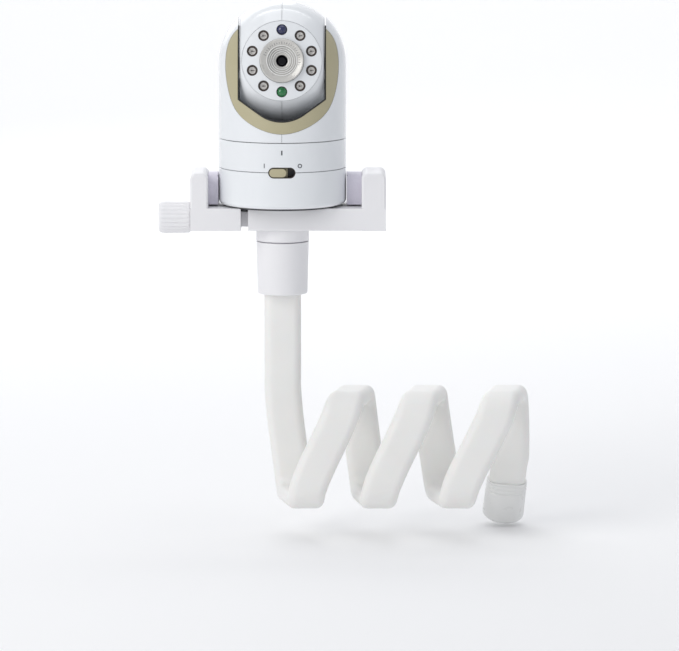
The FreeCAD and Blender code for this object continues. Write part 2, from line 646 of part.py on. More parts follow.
def build_camera_base():
    antenna_pin = cyl(ANTENNA_PIN_R, -7.4, 7.4, X_AXIS, V(0, ANTENNA_PIVOT_Y, ANTENNA_PIVOT_Z))
    circuit = cyl(30.5, PCB_Z0, PCB_Z1).cut(Part.makeCompound(
        at_boss_circle(1.5, 140, 150) + [box(-12, 12, 22, 40, 140, 150), box(-9, 9, -40, -24, 140, 150)]))
    chips = [box(-6, 6, -8, 4, PCB_Z1, PCB_Z1 + 1.4), box(12, 18, -4, 6, PCB_Z1, PCB_Z1 + 2.2),
             cyl(3.0, PCB_Z1, PCB_Z1 + 6, Z_AXIS, V(-7, 14, 0))]
    screws = [fuse(a, b) for a, b in zip(
        at_boss_circle(2.3, CAM_Z0 + 0.7, CAM_Z0 + 2.35), at_boss_circle(1.2, CAM_Z0 + 1, BASE_SCREW_TOP))]
    gasket = ring(SPEAKER_R, SPEAKER_R - 1, 29.5, CAM_R, Y_AXIS, V(0, 0, SPEAKER_Z))
    gasket = gasket.common(cyl(BACK_OF_WALL, 130, 160))
    speaker = fuse(cyl(SPEAKER_R, 26.4, 29.6, Y_AXIS, V(0, 0, SPEAKER_Z)),
                   cyl(5.0, 23.6, 26.5, Y_AXIS, V(0, 0, SPEAKER_Z)), gasket)
    jack = fuse(cyl(3.9, 24.0, CAM_R + 0.1, Y_AXIS, V(0, 0, JACK_Z)),
                box(-4.6, 4.6, 22.0, 30.5, JACK_Z - 4.6, PCB_Z0 - 0.1))
    jack = fuse(jack.cut(cyl(2.8, 26.0, CAM_R + 1, Y_AXIS, V(0, 0, JACK_Z))),
                cyl(1.0, 25, 34.5, Y_AXIS, V(0, 0, JACK_Z)))
    button = fuse(cyl(3.05, 30.6, CAM_R + 0.9, Y_AXIS, V(0, 0, BUTTON_Z)),
                  cyl(3.9, 30.0, 31.0, Y_AXIS, V(0, 0, BUTTON_Z)))
    key = fuse(box(-3, 3, 25.0, 28.4, BUTTON_Z - 3, PCB_Z0),
               cyl(1.5, 28.3, 29.2, Y_AXIS, V(0, 0, BUTTON_Z)))
    motor = fuse(cyl(7.0, 149.5, 162.2), box(-2.2, 2.2, -10.2, 10.2, 161.4, 162.2), cyl(1.0, 162, 167.6))
    motor = motor.cut(Part.makeCompound([cyl(1.0, 160, 168, Z_AXIS, V(0, s * 8.0, 0)) for s in (-1, 1)]))
    standoffs = [ring(1.9, 0.95, 162.0, 168.6, Z_AXIS, V(0, s * 8.0, 0)) for s in (-1, 1)]
    motor = fuse(motor, *standoffs)
    pinion_phase = math.pi + math.pi / PAN_PINION_TEETH
    pinion = pan_motor_place(moved(
        gear(PAN_MODULE, PAN_PINION_TEETH, PAN_GEAR_Z1 - PAN_GEAR_Z0, 1.02, pinion_phase),
        V(0, 0, PAN_GEAR_Z0)))
    switch_case = fuse(box(-6.5, 6.5, -30.2, -24.0, SWITCH_Z - 2.6, SWITCH_Z + 2.6),
                       box(-6.5, 6.5, -25.0, -22.6, PCB_Z1, SWITCH_Z + 2.6))
    marks = [box(-9.9, -9.5, -CAM_R - 1, -30, 157.2, 159.7),
             ring(1.2, 0.75, 30, CAM_R + 1, Y_AXIS * -1, V(9.9, 0, 158.4))]
    skin = ring(CAM_R + 0.12, CAM_R, 156, 161)
    save_all({
        "foot_ring": ring(30.2, 23.8, BAR_Z1, CAM_Z0 + 0.6),
        "base_cover": base_cover(),
        "base_body": base_body(),
        "base_screws": Part.makeCompound(screws),
        "main_circuit_board": fuse(circuit, about_z(key, BUTTON_ANGLE), *chips),
        "speaker": speaker,
        "power_jack": about_z(jack, JACK_ANGLE),
        "pairing_button": about_z(button, BUTTON_ANGLE),
        "power_switch_case": switch_case,
        "power_switch_slider": switch_slider(),
        "switch_marks": Part.makeCompound([m.common(skin) for m in marks]),
        "antenna": antenna(),
        "antenna_pin": antenna_pin,
        "pan_motor": pan_motor_place(motor),
        "pan_pinion": pinion,
        "pan_glide_ring": ring(32.0, HUB_R + 0.1, BODY_Z1, TURRET_Z0),
    }, STEM_AT)
    # a tooth of the big gear points straight at the motor's shaft, into a gap of the pinion
    pan_gear = gear(PAN_MODULE, PAN_TEETH, PAN_GEAR_Z1 - PAN_GEAR_Z0, HUB_R, math.radians(PAN_MOTOR_ANGLE))
    save("pan_gear", moved(pan_gear, STEM_AT + V(0, 0, PAN_GEAR_Z0)))

# ---- turret -------------------------------------------------------------------------------------

SEAM = 0.08
INNER_WALL = 2.0
HUB_HOLE_R = 8.5
HUB_Z0 = 161.0
POD_SCREW_X, POD_SCREW_Y = 29.2, 9.0
POD_BOSS_HEIGHT = 11.0
BACK_OPENING_Z = 190.0
# front view of the opening's lower edge and of the trim's outer edge: (x, z), right-hand half
OPENING_SIDE_Z = 194.2
OPENING_CORNER = (13.3, 186.9)
OPENING_BOTTOM_Z = 182.4
TRIM_OUTER = [(24.4, 232.2), (28.9, 226.0), (31.1, 215.2), (30.0, 201.0), (24.8, 187.6), (13.7, 179.3)]
TRIM_BOTTOM_Z = 176.0
TRIM_CENTRE_Z = 208.0
SUN_X0, SUN_X1 = 18.2, 21.0
TILT_CENTRES = TILT_MODULE * (TILT_TEETH + TILT_PINION_TEETH) / 2


def capsule(r, z0):
    """Upright cylinder with a dome on top, centred on the tilt axis."""
    return cyl(r, z0, AXIS_Z).fuse(Part.makeSphere(r, HEAD_C))


def opening(y0, y1, half, side_z, corner, bottom_z):
    """U-shaped way through the turret's wall, from y0 to y1, open at the top."""
    top_z = AXIS_Z + CAM_R + 5
    corner_x, corner_z = corner

    def at(x, z):
        return V(x, y0, z)

    path = [
        Part.LineSegment(at(-corner_x, corner_z), at(-half, side_z)).toShape(),
        Part.LineSegment(at(-half, side_z), at(-half, top_z)).toShape(),
        Part.LineSegment(at(-half, top_z), at(half, top_z)).toShape(),
        Part.LineSegment(at(half, top_z), at(half, side_z)).toShape(),
        Part.LineSegment(at(half, side_z), at(corner_x, corner_z)).toShape(),
        Part.Arc(at(corner_x, corner_z), at(0, bottom_z), at(-corner_x, corner_z)).toShape(),
    ]
    return Part.Face(Part.Wire(path)).extrude(V(0, y1 - y0, 0))


def front_opening():
    return opening(-CAM_R - 5, 0, SLOT_HALF, OPENING_SIDE_Z, OPENING_CORNER, OPENING_BOTTOM_Z)


def back_opening():
    rise = BACK_OPENING_Z - OPENING_BOTTOM_Z
    corner = (OPENING_CORNER[0], OPENING_CORNER[1] + rise)
    return opening(-0.01, CAM_R + 5, SLOT_HALF, OPENING_SIDE_Z + rise, corner, BACK_OPENING_Z)


def trim_outline(grow):
    """Prism over everything inside the trim's outer edge, grown outwards all round."""
    right = TRIM_OUTER + [(0, TRIM_BOTTOM_Z)]
    points = right + [(-x, z) for x, z in reversed(TRIM_OUTER)]
    placed = []
    for x, z in points:
        away = V(x, 0, z - TRIM_CENTRE_Z).normalize() * grow
        placed.append(V(x, -CAM_R - 5, z) + away)
    curve = Part.BSplineCurve()
    curve.interpolate(placed)
    closing = Part.LineSegment(placed[-1], placed[0]).toShape()
    return Part.Face(Part.Wire([curve.toShape(), closing])).extrude(V(0, CAM_R + 5, 0))


def turret_halves():
    shell = capsule(CAM_R, TURRET_Z0).cut(capsule(BACK_OF_WALL, TURRET_Z0 - 1))
    inside = capsule(BACK_OF_WALL + 0.05, DECK_Z1 + 0.05)
    foot = DECK_Z1 + 0.05
    walls = [
        box(*sorted((s * SLOT_HALF, s * (SLOT_HALF + INNER_WALL))), -40, 40, foot, 250).common(inside)
        for s in (-1, 1)
    ]
    bosses = [
        cyl(2.1, foot, foot + POD_BOSS_HEIGHT, Z_AXIS, V(sx * POD_SCREW_X, sy * POD_SCREW_Y, 0))
        for sx in (-1, 1) for sy in (-1, 1)
    ]
    webs = []
    for s in (-1, 1):
        x0, x1 = sorted((s * (SLOT_HALF + 1), s * CAM_R))
        for y in (-POD_SCREW_Y, POD_SCREW_Y):
            webs.append(box(x0, x1, y - 1, y + 1, foot, foot + POD_BOSS_HEIGHT).common(inside))
    shell = shell.multiFuse(walls + bosses + webs)
    cuts = [front_opening(), back_opening()]
    cuts += [cyl(PIVOT_R + 0.05, -30, -20, X_AXIS, HEAD_C), cyl(PIVOT_R, 20, 26.4, X_AXIS, HEAD_C)]
    cuts += [
        cyl(1.0, DECK_Z1 - 1, DECK_Z1 + 9, Z_AXIS, V(sx * POD_SCREW_X, sy * POD_SCREW_Y, 0))
        for sx in (-1, 1) for sy in (-1, 1)
    ]
    shell = shell.cut(cuts)
    # the trim lies in a recess: outside its outline the wall is full, under it the wall is thinner
    under_trim = shell.common(capsule(CAM_R - TRIM_THICK, 160))
    shell = shell.cut(trim_outline(0.12)).fuse(under_trim)
    right = shell.common(box(SEAM, 50, -50, 50, 150, 270))
    left = shell.common(box(-50, -SEAM, -50, 50, 150, 270))
    return left.removeSplitter(), right.removeSplitter()


def trim():
    band = capsule(CAM_R + 0.12, 160).cut(capsule(CAM_R - TRIM_THICK + 0.05, 100))
    return band.common(trim_outline(0)).cut(front_opening()).removeSplitter()


def turret_deck():
    """Round floor of the turret, with the hub that turns in the base."""
    deck = fuse(cyl(BACK_OF_WALL - 0.1, DECK_Z0, DECK_Z1), cyl(HUB_R, HUB_Z0, DECK_Z0 + 1),
                ring(32.0, 25.0, TURRET_Z0 + 0.02, DECK_Z0 + 1))
    cuts = [cyl(HUB_HOLE_R, HUB_Z0 - 1, DECK_Z1 + 1), ring(12, HUB_R - 0.6, 167.5, 168.3)]
    for sx in (-1, 1):
        for sy in (-1, 1):
            at = V(sx * POD_SCREW_X, sy * POD_SCREW_Y, 0)
            cuts.append(cyl(1.2, TURRET_Z0 - 1, DECK_Z1 + 1, Z_AXIS, at))
            cuts.append(cyl(2.3, TURRET_Z0 - 1, DECK_Z0 + 0.4, Z_AXIS, at))
    return deck.cut(Part.makeCompound(cuts))


def pod_screw(sx, sy):
    at = V(sx * POD_SCREW_X, sy * POD_SCREW_Y, 0)
    head = cyl(2.1, DECK_Z0 - 1.2, DECK_Z0 + 0.35, Z_AXIS, at)
    return fuse(head, cyl(0.98, DECK_Z0, DECK_Z1 + 8, Z_AXIS, at))


def along_x(gear_shape, x):
    """Turns a gear drawn on Z so that its axis is the tilt axis; its +Y stays +Y."""
    return moved(rotated(gear_shape, ORIGIN, Y_AXIS, 90), V(x, 0, AXIS_Z))


def tilted(shape):
    """Head parts are drawn level and then turned up to where the camera looks at rest."""
    return rotated(shape, HEAD_C, X_AXIS, -HEAD_LOOKS_UP)


def build_turret():
    left, right = turret_halves()
    # the sun gear stands still in the turret while the head's pinion walks round it
    sun = along_x(gear(TILT_MODULE, TILT_TEETH, SUN_X1 - SUN_X0, 0, math.pi / 2), SUN_X0)
    sun = fuse(sun, cyl(PIVOT_R, SUN_X1 - 0.5, SLOT_HALF + INNER_WALL, X_AXIS, HEAD_C))
    sun = sun.cut(cyl(2.2, SUN_X0 - 1, 30, X_AXIS, HEAD_C))
    screws = [pod_screw(sx, sy) for sx in (-1, 1) for sy in (-1, 1)]
    save_all({
        "turret_shell_left": left,
        "turret_shell_right": right,
        "turret_trim": trim(),
        "turret_deck": turret_deck(),
        "turret_screws": Part.makeCompound(screws),
        "hub_retaining_ring": ring(14.0, HUB_R - 0.55, 167.55, 168.25),
        "tilt_sun_gear": tilted(sun),
    }, STEM_AT)


# ---- head ---------------------------------------------------------------------------------------

PLATE_BACK = 24.6
BOARD_FRONT = 22.6
LED_BOARD_R = 21.5
SCREW_AT = (18.0, 12.0)
FORWARD = Y_AXIS * -1
HOOD_PROFILE = [
    (3.3, 24.0), (3.3, 25.8), (4.7, 26.1), (4.9, 26.9), (5.7, 27.1), (5.9, 27.8), (6.8, 28.0),
    (7.0, 28.7), (7.9, 28.9), (8.1, 29.6), (11.3, 30.9), (11.8, 30.9), (12.1, 30.5), (12.1, 24.9),
    (7.0, 24.9), (7.0, 14.0), (5.6, 14.0), (5.6, 24.0),
]


def led_spots(first, count, step):
    """Places on the ring of lamps round the lens, as angles from the top, clockwise from the front."""
    spots = []
    for i in range(count):
        a = math.radians(first + i * step)
        spots.append(HEAD_C + V(LED_CIRCLE_R * math.sin(a), 0, LED_CIRCLE_R * math.cos(a)))
    return spots


LAMP_SPOTS = led_spots(36, 4, 36) + led_spots(216, 4, 36)
SENSOR_SPOT = led_spots(0, 1, 0)[0]
STATUS_SPOT = led_spots(180, 1, 0)[0]


def domed_lamp(spot, r, tip):
    """Round lamp on the board with a hemispherical end that reaches tip."""
    shank = cyl(r, BOARD_FRONT, tip - r, FORWARD, spot)
    dome = Part.makeSphere(r, spot + FORWARD * (tip - r))
    return fuse(shank, dome)


def head_halves():
    ball = Part.makeSphere(HEAD_R, HEAD_C).common(box(-HEAD_HALF, HEAD_HALF, -50, 50, 150, 270))
    ball = ball.makeFillet(1.5, edges_at(ball, lambda c: abs(c.x) > HEAD_HALF - 1))
    inner_half = HEAD_HALF - HEAD_WALL
    hollow = Part.makeSphere(HEAD_R - HEAD_WALL, HEAD_C)
    hollow = hollow.common(box(-inner_half, inner_half, -50, 50, 150, 270))
    shell = ball.cut(hollow).cut(cyl(PLATE_R + 0.12, 15, 50, FORWARD, HEAD_C))
    seat = ring(HEAD_R, 20.0, 22.6, PLATE_BACK - 0.05, FORWARD, HEAD_C).common(ball)
    bosses = [
        cyl(2.6, -inner_half - 0.5, inner_half + 0.5, X_AXIS, HEAD_C + V(0, SCREW_AT[0], s * SCREW_AT[1]))
        for s in (-1, 1)
    ]
    stub = ring(PIVOT_R, 2.2, -28.6, -inner_half, X_AXIS, HEAD_C)
    shell = shell.multiFuse([seat, stub] + bosses)
    cuts = [cyl(PIVOT_R + 0.05, inner_half - 1, HEAD_HALF + 1, X_AXIS, HEAD_C),
            cyl(2.2, -30, -20, X_AXIS, HEAD_C)]
    for s in (-1, 1):
        at = HEAD_C + V(0, SCREW_AT[0], s * SCREW_AT[1])
        cuts.append(cyl(1.15, -HEAD_HALF - 1, 12, X_AXIS, at))
        cuts.append(cyl(2.1, -HEAD_HALF - 1, -HEAD_HALF + 1.4, X_AXIS, at))
    shell = shell.cut(Part.makeCompound(cuts))
    right = shell.common(box(SEAM, 50, -50, 50, 150, 270))
    left = shell.common(box(-50, -SEAM, -50, 50, 150, 270))
    return left, right


def face_plate():
    crown_r = (PLATE_R**2 + (PLATE_EDGE_Y - PLATE_CENTRE_Y)**2) / (2 * (PLATE_EDGE_Y - PLATE_CENTRE_Y))
    plate = cyl(PLATE_R, PLATE_BACK, 40, FORWARD, HEAD_C)
    plate = plate.common(Part.makeSphere(crown_r, HEAD_C + V(0, PLATE_CENTRE_Y + crown_r, 0)))
    holes = [cyl(LED_HOLE_R, 20, 40, FORWARD, p) for p in LAMP_SPOTS + [SENSOR_SPOT, STATUS_SPOT]]
    return plate.cut(Part.makeCompound(holes + [cyl(HOOD_R + 0.15, 20, 40, FORWARD, HEAD_C)]))


def tilt_motor():
    """Small geared motor in the head; its two feet stand on the head's right-hand wall."""
    at = HEAD_C + V(0, TILT_CENTRES, 0)
    can = cyl(7.6, 2.0, 17.2, X_AXIS, at)
    feet = [cyl(1.8, 14.0, HEAD_HALF - HEAD_WALL, X_AXIS, at + V(0, 0, s * 10.6)) for s in (-1, 1)]
    ears = [box(14.0, 15.2, TILT_CENTRES - 1.8, TILT_CENTRES + 1.8, AXIS_Z + min(s * 10.6, 0),
                AXIS_Z + max(s * 10.6, 0)) for s in (-1, 1)]
    shaft = cyl(0.8, 17.0, SUN_X1 + 0.2, X_AXIS, at)
    return fuse(can, shaft, *feet, *ears)


def build_head():
    left, right = head_halves()
    pinion_phase = -math.pi / 2 + math.pi / TILT_PINION_TEETH
    pinion = along_x(gear(TILT_MODULE, TILT_PINION_TEETH, SUN_X1 - SUN_X0, 0.82, pinion_phase), SUN_X0)
    pinion = moved(pinion, V(0, TILT_CENTRES, 0))
    holders = [ring(2.92, LED_R + 0.05, BOARD_FRONT, 26.9, FORWARD, p) for p in LAMP_SPOTS]
    led_board = ring(LED_BOARD_R, 8.0, BOARD_FRONT - 1.5, BOARD_FRONT, FORWARD, HEAD_C)
    sensor_board = fuse(box(-12, 12, -12.0, -10.8, AXIS_Z - 12, AXIS_Z + 12),
                        box(-4, 4, -13.0, -11.9, AXIS_Z - 4, AXIS_Z + 4))
    mount = fuse(ring(9.6, 7.05, 12.0, BOARD_FRONT - 1.5, FORWARD, HEAD_C),
                 ring(11.6, 7.05, 12.0, 13.4, FORWARD, HEAD_C))
    screws = []
    for s in (-1, 1):
        at = HEAD_C + V(0, SCREW_AT[0], s * SCREW_AT[1])
        screws.append(fuse(cyl(2.0, -HEAD_HALF + 0.1, -HEAD_HALF + 1.35, X_AXIS, at),
                           cyl(1.1, -HEAD_HALF + 1, 11.5, X_AXIS, at)))
    glass = cyl(5.6, 21.6, 30, FORWARD, HEAD_C).common(Part.makeSphere(9.0, HEAD_C + V(0, 9.0 - 23.9, 0)))
    pieces = {
        "head_shell_left": left,
        "head_shell_right": right,
        "face_plate": face_plate(),
        "infrared_lamps": Part.makeCompound([domed_lamp(p, LED_R, 27.7) for p in LAMP_SPOTS]),
        "lamp_holders": Part.makeCompound(holders),
        "light_sensor": domed_lamp(SENSOR_SPOT, LED_R + 0.3, 28.3),
        "status_light": domed_lamp(STATUS_SPOT, LED_R + 0.3, 28.3),
        "lamp_circuit_board": led_board,
        "image_sensor_board": sensor_board,
        "lens_mount": mount,
        "tilt_motor": tilt_motor(),
        "tilt_pinion": pinion,
        "head_screws": Part.makeCompound(screws),
        "lens_hood": turned(HOOD_PROFILE, FORWARD, HEAD_C),
        "lens_glass": glass,
    }
    save_all({name: tilted(shape) for name, shape in pieces.items()}, STEM_AT)


os.makedirs("parts", exist_ok=True)
build_arm()
build_clamp()
build_camera_base()
build_turret()
build_head()
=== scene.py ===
"""Looks of the baby monitor camera: the camera, its screw clamp and the bendable arm."""

import json
import math

import bmesh
import bpy
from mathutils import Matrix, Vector


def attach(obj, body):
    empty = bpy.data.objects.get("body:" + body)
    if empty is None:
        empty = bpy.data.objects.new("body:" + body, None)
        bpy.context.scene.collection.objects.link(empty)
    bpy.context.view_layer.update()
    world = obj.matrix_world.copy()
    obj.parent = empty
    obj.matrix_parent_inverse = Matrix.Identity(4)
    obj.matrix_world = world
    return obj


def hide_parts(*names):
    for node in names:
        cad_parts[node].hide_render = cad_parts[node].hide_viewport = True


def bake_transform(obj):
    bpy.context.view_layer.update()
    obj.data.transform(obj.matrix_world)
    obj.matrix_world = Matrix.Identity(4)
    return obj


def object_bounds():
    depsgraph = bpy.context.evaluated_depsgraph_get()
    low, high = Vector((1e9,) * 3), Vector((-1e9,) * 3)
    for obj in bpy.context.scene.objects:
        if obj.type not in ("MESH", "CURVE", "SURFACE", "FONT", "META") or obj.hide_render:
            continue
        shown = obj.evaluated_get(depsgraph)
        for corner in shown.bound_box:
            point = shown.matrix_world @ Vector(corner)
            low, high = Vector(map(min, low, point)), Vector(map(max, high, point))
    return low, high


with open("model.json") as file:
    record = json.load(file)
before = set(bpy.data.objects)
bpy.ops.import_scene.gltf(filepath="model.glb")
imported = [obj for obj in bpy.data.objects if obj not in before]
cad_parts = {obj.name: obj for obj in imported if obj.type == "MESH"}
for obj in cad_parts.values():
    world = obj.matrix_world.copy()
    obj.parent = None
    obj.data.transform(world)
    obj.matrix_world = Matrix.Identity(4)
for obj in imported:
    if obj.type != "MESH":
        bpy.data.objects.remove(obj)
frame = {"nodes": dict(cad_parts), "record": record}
cad_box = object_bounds()

MM = 0.001
X, Y, Z = Vector((1, 0, 0)), Vector((0, 1, 0)), Vector((0, 0, 1))
NODES = frame["nodes"]

# the stem's axis, which is also the camera's, and the centre that the head tilts about
AXIS_X, AXIS_Y = -68.0, 20.2
HEAD_CENTRE = Vector((AXIS_X, AXIS_Y, 212.0))
HEAD_TILT = math.radians(8)
FORWARD = Vector((0, -math.cos(HEAD_TILT), math.sin(HEAD_TILT)))
FACE_UP = Vector((0, math.sin(HEAD_TILT), math.cos(HEAD_TILT)))


# ---- camera, light, floor -----------------------------------------------------------------------

# width of the view at the distance of the point aimed at, in metres
FRAME_WIDTH = 0.3768
AIM = Vector((-0.0363, 0.0, 0.0680))
CAMERA_DISTANCE = 2.8
CAMERA_RAISE = math.radians(7.8)


def make_camera():
    data = bpy.data.cameras.new("photo_camera")
    data.lens = data.sensor_width * CAMERA_DISTANCE / FRAME_WIDTH
    data.clip_start, data.clip_end = 0.05, 50
    camera = bpy.data.objects.new("photo_camera", data)
    away = Vector((0, -math.cos(CAMERA_RAISE), math.sin(CAMERA_RAISE)))
    camera.location = AIM + away * CAMERA_DISTANCE
    camera.rotation_mode = "QUATERNION"
    camera.rotation_quaternion = (-away).to_track_quat("-Z", "Y")
    bpy.context.collection.objects.link(camera)
    bpy.context.scene.camera = camera


OBJECT_MIDDLE = Vector((-0.04, 0, 0.1))
BACKDROP_MIDDLE = Vector((0, 3.2, 0.7))


def soft_box(name, place, size, watts, colour, target=OBJECT_MIDDLE):
    data = bpy.data.lights.new(name, "AREA")
    data.shape = "RECTANGLE"
    data.size, data.size_y = size
    data.energy = watts
    data.color = colour
    light = bpy.data.objects.new(name, data)
    light.location = place
    light.rotation_mode = "QUATERNION"
    light.rotation_quaternion = (target - light.location).to_track_quat("-Z", "Y")
    bpy.context.collection.objects.link(light)


def make_studio():
    soft_box("key", (-1.3, -1.2, 1.0), (1.1, 1.4), 15, (1.0, 0.99, 0.97))
    soft_box("fill", (1.6, -1.4, 0.5), (1.2, 1.4), 1.4, (0.94, 0.97, 1.0))
    soft_box("top", (0.0, 0.2, 1.9), (1.6, 1.6), 7.0, (1.0, 1.0, 1.0))
    soft_box("rear", (-0.6, 1.7, 0.9), (1.4, 1.0), 4, (0.97, 0.98, 1.0))
    soft_box("backdrop", (0, 1.5, 2.4), (3.0, 1.2), 32, (1.0, 1.0, 1.0), BACKDROP_MIDDLE)
    world = bpy.data.worlds.new("studio")
    world.use_nodes = True
    sky = world.node_tree.nodes["Background"]
    sky.inputs["Color"].default_value = (0.93, 0.95, 1.0, 1)
    sky.inputs["Strength"].default_value = 0.53
    bpy.context.scene.world = world
    bpy.context.scene.view_settings.view_transform = "Standard"


FLOOR_GAP = 0.002
FLOOR_NEAR, FLOOR_FAR, FLOOR_HALF_WIDTH = -4.0, 2.0, 5.0
SWEEP_R, SWEEP_STEPS, SWEEP_TOP = 1.2, 16, 5.0


def make_floor(material):
    """Pale sheet that lies under the arm and rises behind it in one sweep."""
    low = cad_box[0].z - FLOOR_GAP
    rows = [(FLOOR_NEAR, low), (FLOOR_FAR, low)]
    for i in range(1, SWEEP_STEPS + 1):
        a = math.pi / 2 * i / SWEEP_STEPS
        rows.append((FLOOR_FAR + SWEEP_R * math.sin(a), low + SWEEP_R * (1 - math.cos(a))))
    rows.append((FLOOR_FAR + SWEEP_R, SWEEP_TOP))
    verts = [Vector((side * FLOOR_HALF_WIDTH, y, z)) for y, z in rows for side in (-1, 1)]
    faces = [(2 * i, 2 * i + 1, 2 * i + 3, 2 * i + 2) for i in range(len(rows) - 1)]
    floor = add_mesh("floor", verts, faces, material, None, scale=1.0)


# ---- mesh helpers (millimetres in, metres out) --------------------------------------------------


def add_mesh(name, verts, faces, material, body, scale=MM, sharp=None):
    """New mesh object; sharp is the angle in degrees above which an edge isn't smoothed."""
    mesh = bpy.data.meshes.new(name)
    mesh.from_pydata([tuple(v * scale) for v in verts], [], faces)
    work = bmesh.new()
    work.from_mesh(mesh)
    bmesh.ops.recalc_face_normals(work, faces=work.faces)
    work.to_mesh(mesh)
    work.free()
    mesh.materials.append(material)
    mesh.shade_smooth()
    if sharp:
        mesh.set_sharp_from_angle(angle=math.radians(sharp))
    thing = bpy.data.objects.new(name, mesh)
    bpy.context.collection.objects.link(thing)
    if body:
        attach(thing, body)
    return thing


def loft(rings, cap_start=True, cap_end=True):
    """Vertices and faces of a tube through closed rings that all have the same number of points."""
    count = len(rings[0])
    verts = [p for ring in rings for p in ring]
    faces = []
    for k in range(len(rings) - 1):
        for i in range(count):
            j = (i + 1) % count
            faces.append((k * count + i, k * count + j, (k + 1) * count + j, (k + 1) * count + i))
    for wanted, k in ((cap_start, 0), (cap_end, len(rings) - 1)):
        if wanted:
            faces.append(tuple(k * count + i for i in range(count)))
    return verts, faces


def turned(profile, centre, axis, side, segments=64, closed=False):
    """Vertices and faces of (radius, distance along axis) turned about a line; side is across it."""
    across = axis.cross(side)
    rings = []
    for r, d in profile:
        middle = centre + axis * d
        rings.append([
            middle + (side * math.cos(2 * math.pi * i / segments)
                      + across * math.sin(2 * math.pi * i / segments)) * r
            for i in range(segments)
        ])
    if closed:
        rings.append(rings[0])
        return loft(rings, False, False)
    return loft(rings)


def merged(parts):
    """One (verts, faces) from several."""
    verts, faces = [], []
    for part_verts, part_faces in parts:
        start = len(verts)
        verts += part_verts
        faces += [tuple(start + i for i in face) for face in part_faces]
    return verts, faces


def block(centre, right, up, out, size):
    """Box of size (w, h, d) about centre, along the three given directions."""
    w, h, d = (s / 2 for s in size)
    verts = [
        centre + right * (sx * w) + up * (sy * h) + out * (sz * d)
        for sz in (-1, 1) for sx, sy in ((-1, -1), (1, -1), (1, 1), (-1, 1))
    ]
    faces = [(0, 1, 2, 3), (4, 5, 6, 7), (0, 1, 5, 4), (1, 2, 6, 5), (2, 3, 7, 6), (3, 0, 4, 7)]
    return verts, faces


def soften(thing, width, segments=3, angle=35):
    """Rounds a piece's edges with a bevel."""
    bevel = thing.modifiers.new("soft_edges", "BEVEL")
    bevel.width = width * MM
    bevel.segments = segments
    bevel.limit_method = "ANGLE"
    bevel.angle_limit = math.radians(angle)
    return thing


# ---- materials ----------------------------------------------------------------------------------


class Shader:
    """A Principled material and the few node patterns that the finishes here are made of."""

    def __init__(self, name, roughness, metallic=0.0, **values):
        self.material = bpy.data.materials.new(name)
        self.material.use_nodes = True
        self.tree = self.material.node_tree
        self.shader = self.tree.nodes["Principled BSDF"]
        self.shader.inputs["Roughness"].default_value = roughness
        self.shader.inputs["Metallic"].default_value = metallic
        for key, value in values.items():
            self.shader.inputs[key.replace("_", " ")].default_value = value
        self.place = self.tree.nodes.new("ShaderNodeTexCoord").outputs["Object"]
        self.normal = None

    def noise(self, grain, detail=3.0, stretch=None):
        """Cloudy pattern with features about grain millimetres across."""
        node = self.tree.nodes.new("ShaderNodeTexNoise")
        node.inputs["Scale"].default_value = 1 / (grain * MM)
        node.inputs["Detail"].default_value = detail
        source = self.place
        if stretch:
            mapping = self.tree.nodes.new("ShaderNodeMapping")
            mapping.inputs["Scale"].default_value = stretch
            self.tree.links.new(source, mapping.inputs["Vector"])
            source = mapping.outputs["Vector"]
        self.tree.links.new(source, node.inputs["Vector"])
        return node.outputs["Fac"]

    def colour(self, first, second, pattern):
        """Base colour that drifts between two close colours."""
        mix = self.tree.nodes.new("ShaderNodeMix")
        mix.data_type = "RGBA"
        mix.inputs[6].default_value = (*first, 1)
        mix.inputs[7].default_value = (*second, 1)
        self.tree.links.new(pattern, mix.inputs[0])
        self.tree.links.new(mix.outputs[2], self.shader.inputs["Base Color"])
        return self

    def roughness(self, low, high, pattern):
        node = self.tree.nodes.new("ShaderNodeMapRange")
        node.inputs["From Min"].default_value = 0.3
        node.inputs["From Max"].default_value = 0.7
        node.inputs["To Min"].default_value = low
        node.inputs["To Max"].default_value = high
        self.tree.links.new(pattern, node.inputs["Value"])
        self.tree.links.new(node.outputs["Result"], self.shader.inputs["Roughness"])
        return self

    def bump(self, depth, pattern, strength=1.0):
        """Relief depth millimetres high; several add up."""
        node = self.tree.nodes.new("ShaderNodeBump")
        node.inputs["Strength"].default_value = strength
        node.inputs["Distance"].default_value = depth * MM
        self.tree.links.new(pattern, node.inputs["Height"])
        if self.normal:
            self.tree.links.new(self.normal, node.inputs["Normal"])
        self.normal = node.outputs["Normal"]
        self.tree.links.new(self.normal, self.shader.inputs["Normal"])
        return self

    def rounded(self, radius):
        """Shades sharp edges as if they had a small radius, in millimetres."""
        node = self.tree.nodes.new("ShaderNodeBevel")
        node.samples = 6
        node.inputs["Radius"].default_value = radius * MM
        self.normal = node.outputs["Normal"]
        self.tree.links.new(self.normal, self.shader.inputs["Normal"])
        return self


def glossy_housing():
    """Injection-moulded white plastic, polished, with the faint waviness of a real moulding."""
    s = Shader("glossy_white_housing", 0.2, Coat_Weight=0.35, Coat_Roughness=0.08)
    s.rounded(0.25)
    s.colour((0.80, 0.825, 0.85), (0.84, 0.86, 0.88), s.noise(28))
    s.roughness(0.17, 0.26, s.noise(9))
    s.bump(0.012, s.noise(6, 1.0), 0.5)
    return s.bump(0.004, s.noise(0.35), 0.4).material


def satin_clamp():
    """Spark-eroded white plastic: fine even grain, a little warmer than the camera."""
    s = Shader("satin_white_clamp", 0.45)
    s.rounded(0.35)
    s.colour((0.82, 0.815, 0.835), (0.86, 0.855, 0.865), s.noise(22))
    s.roughness(0.40, 0.52, s.noise(5))
    return s.bump(0.03, s.noise(0.45, 2.0), 0.35).material


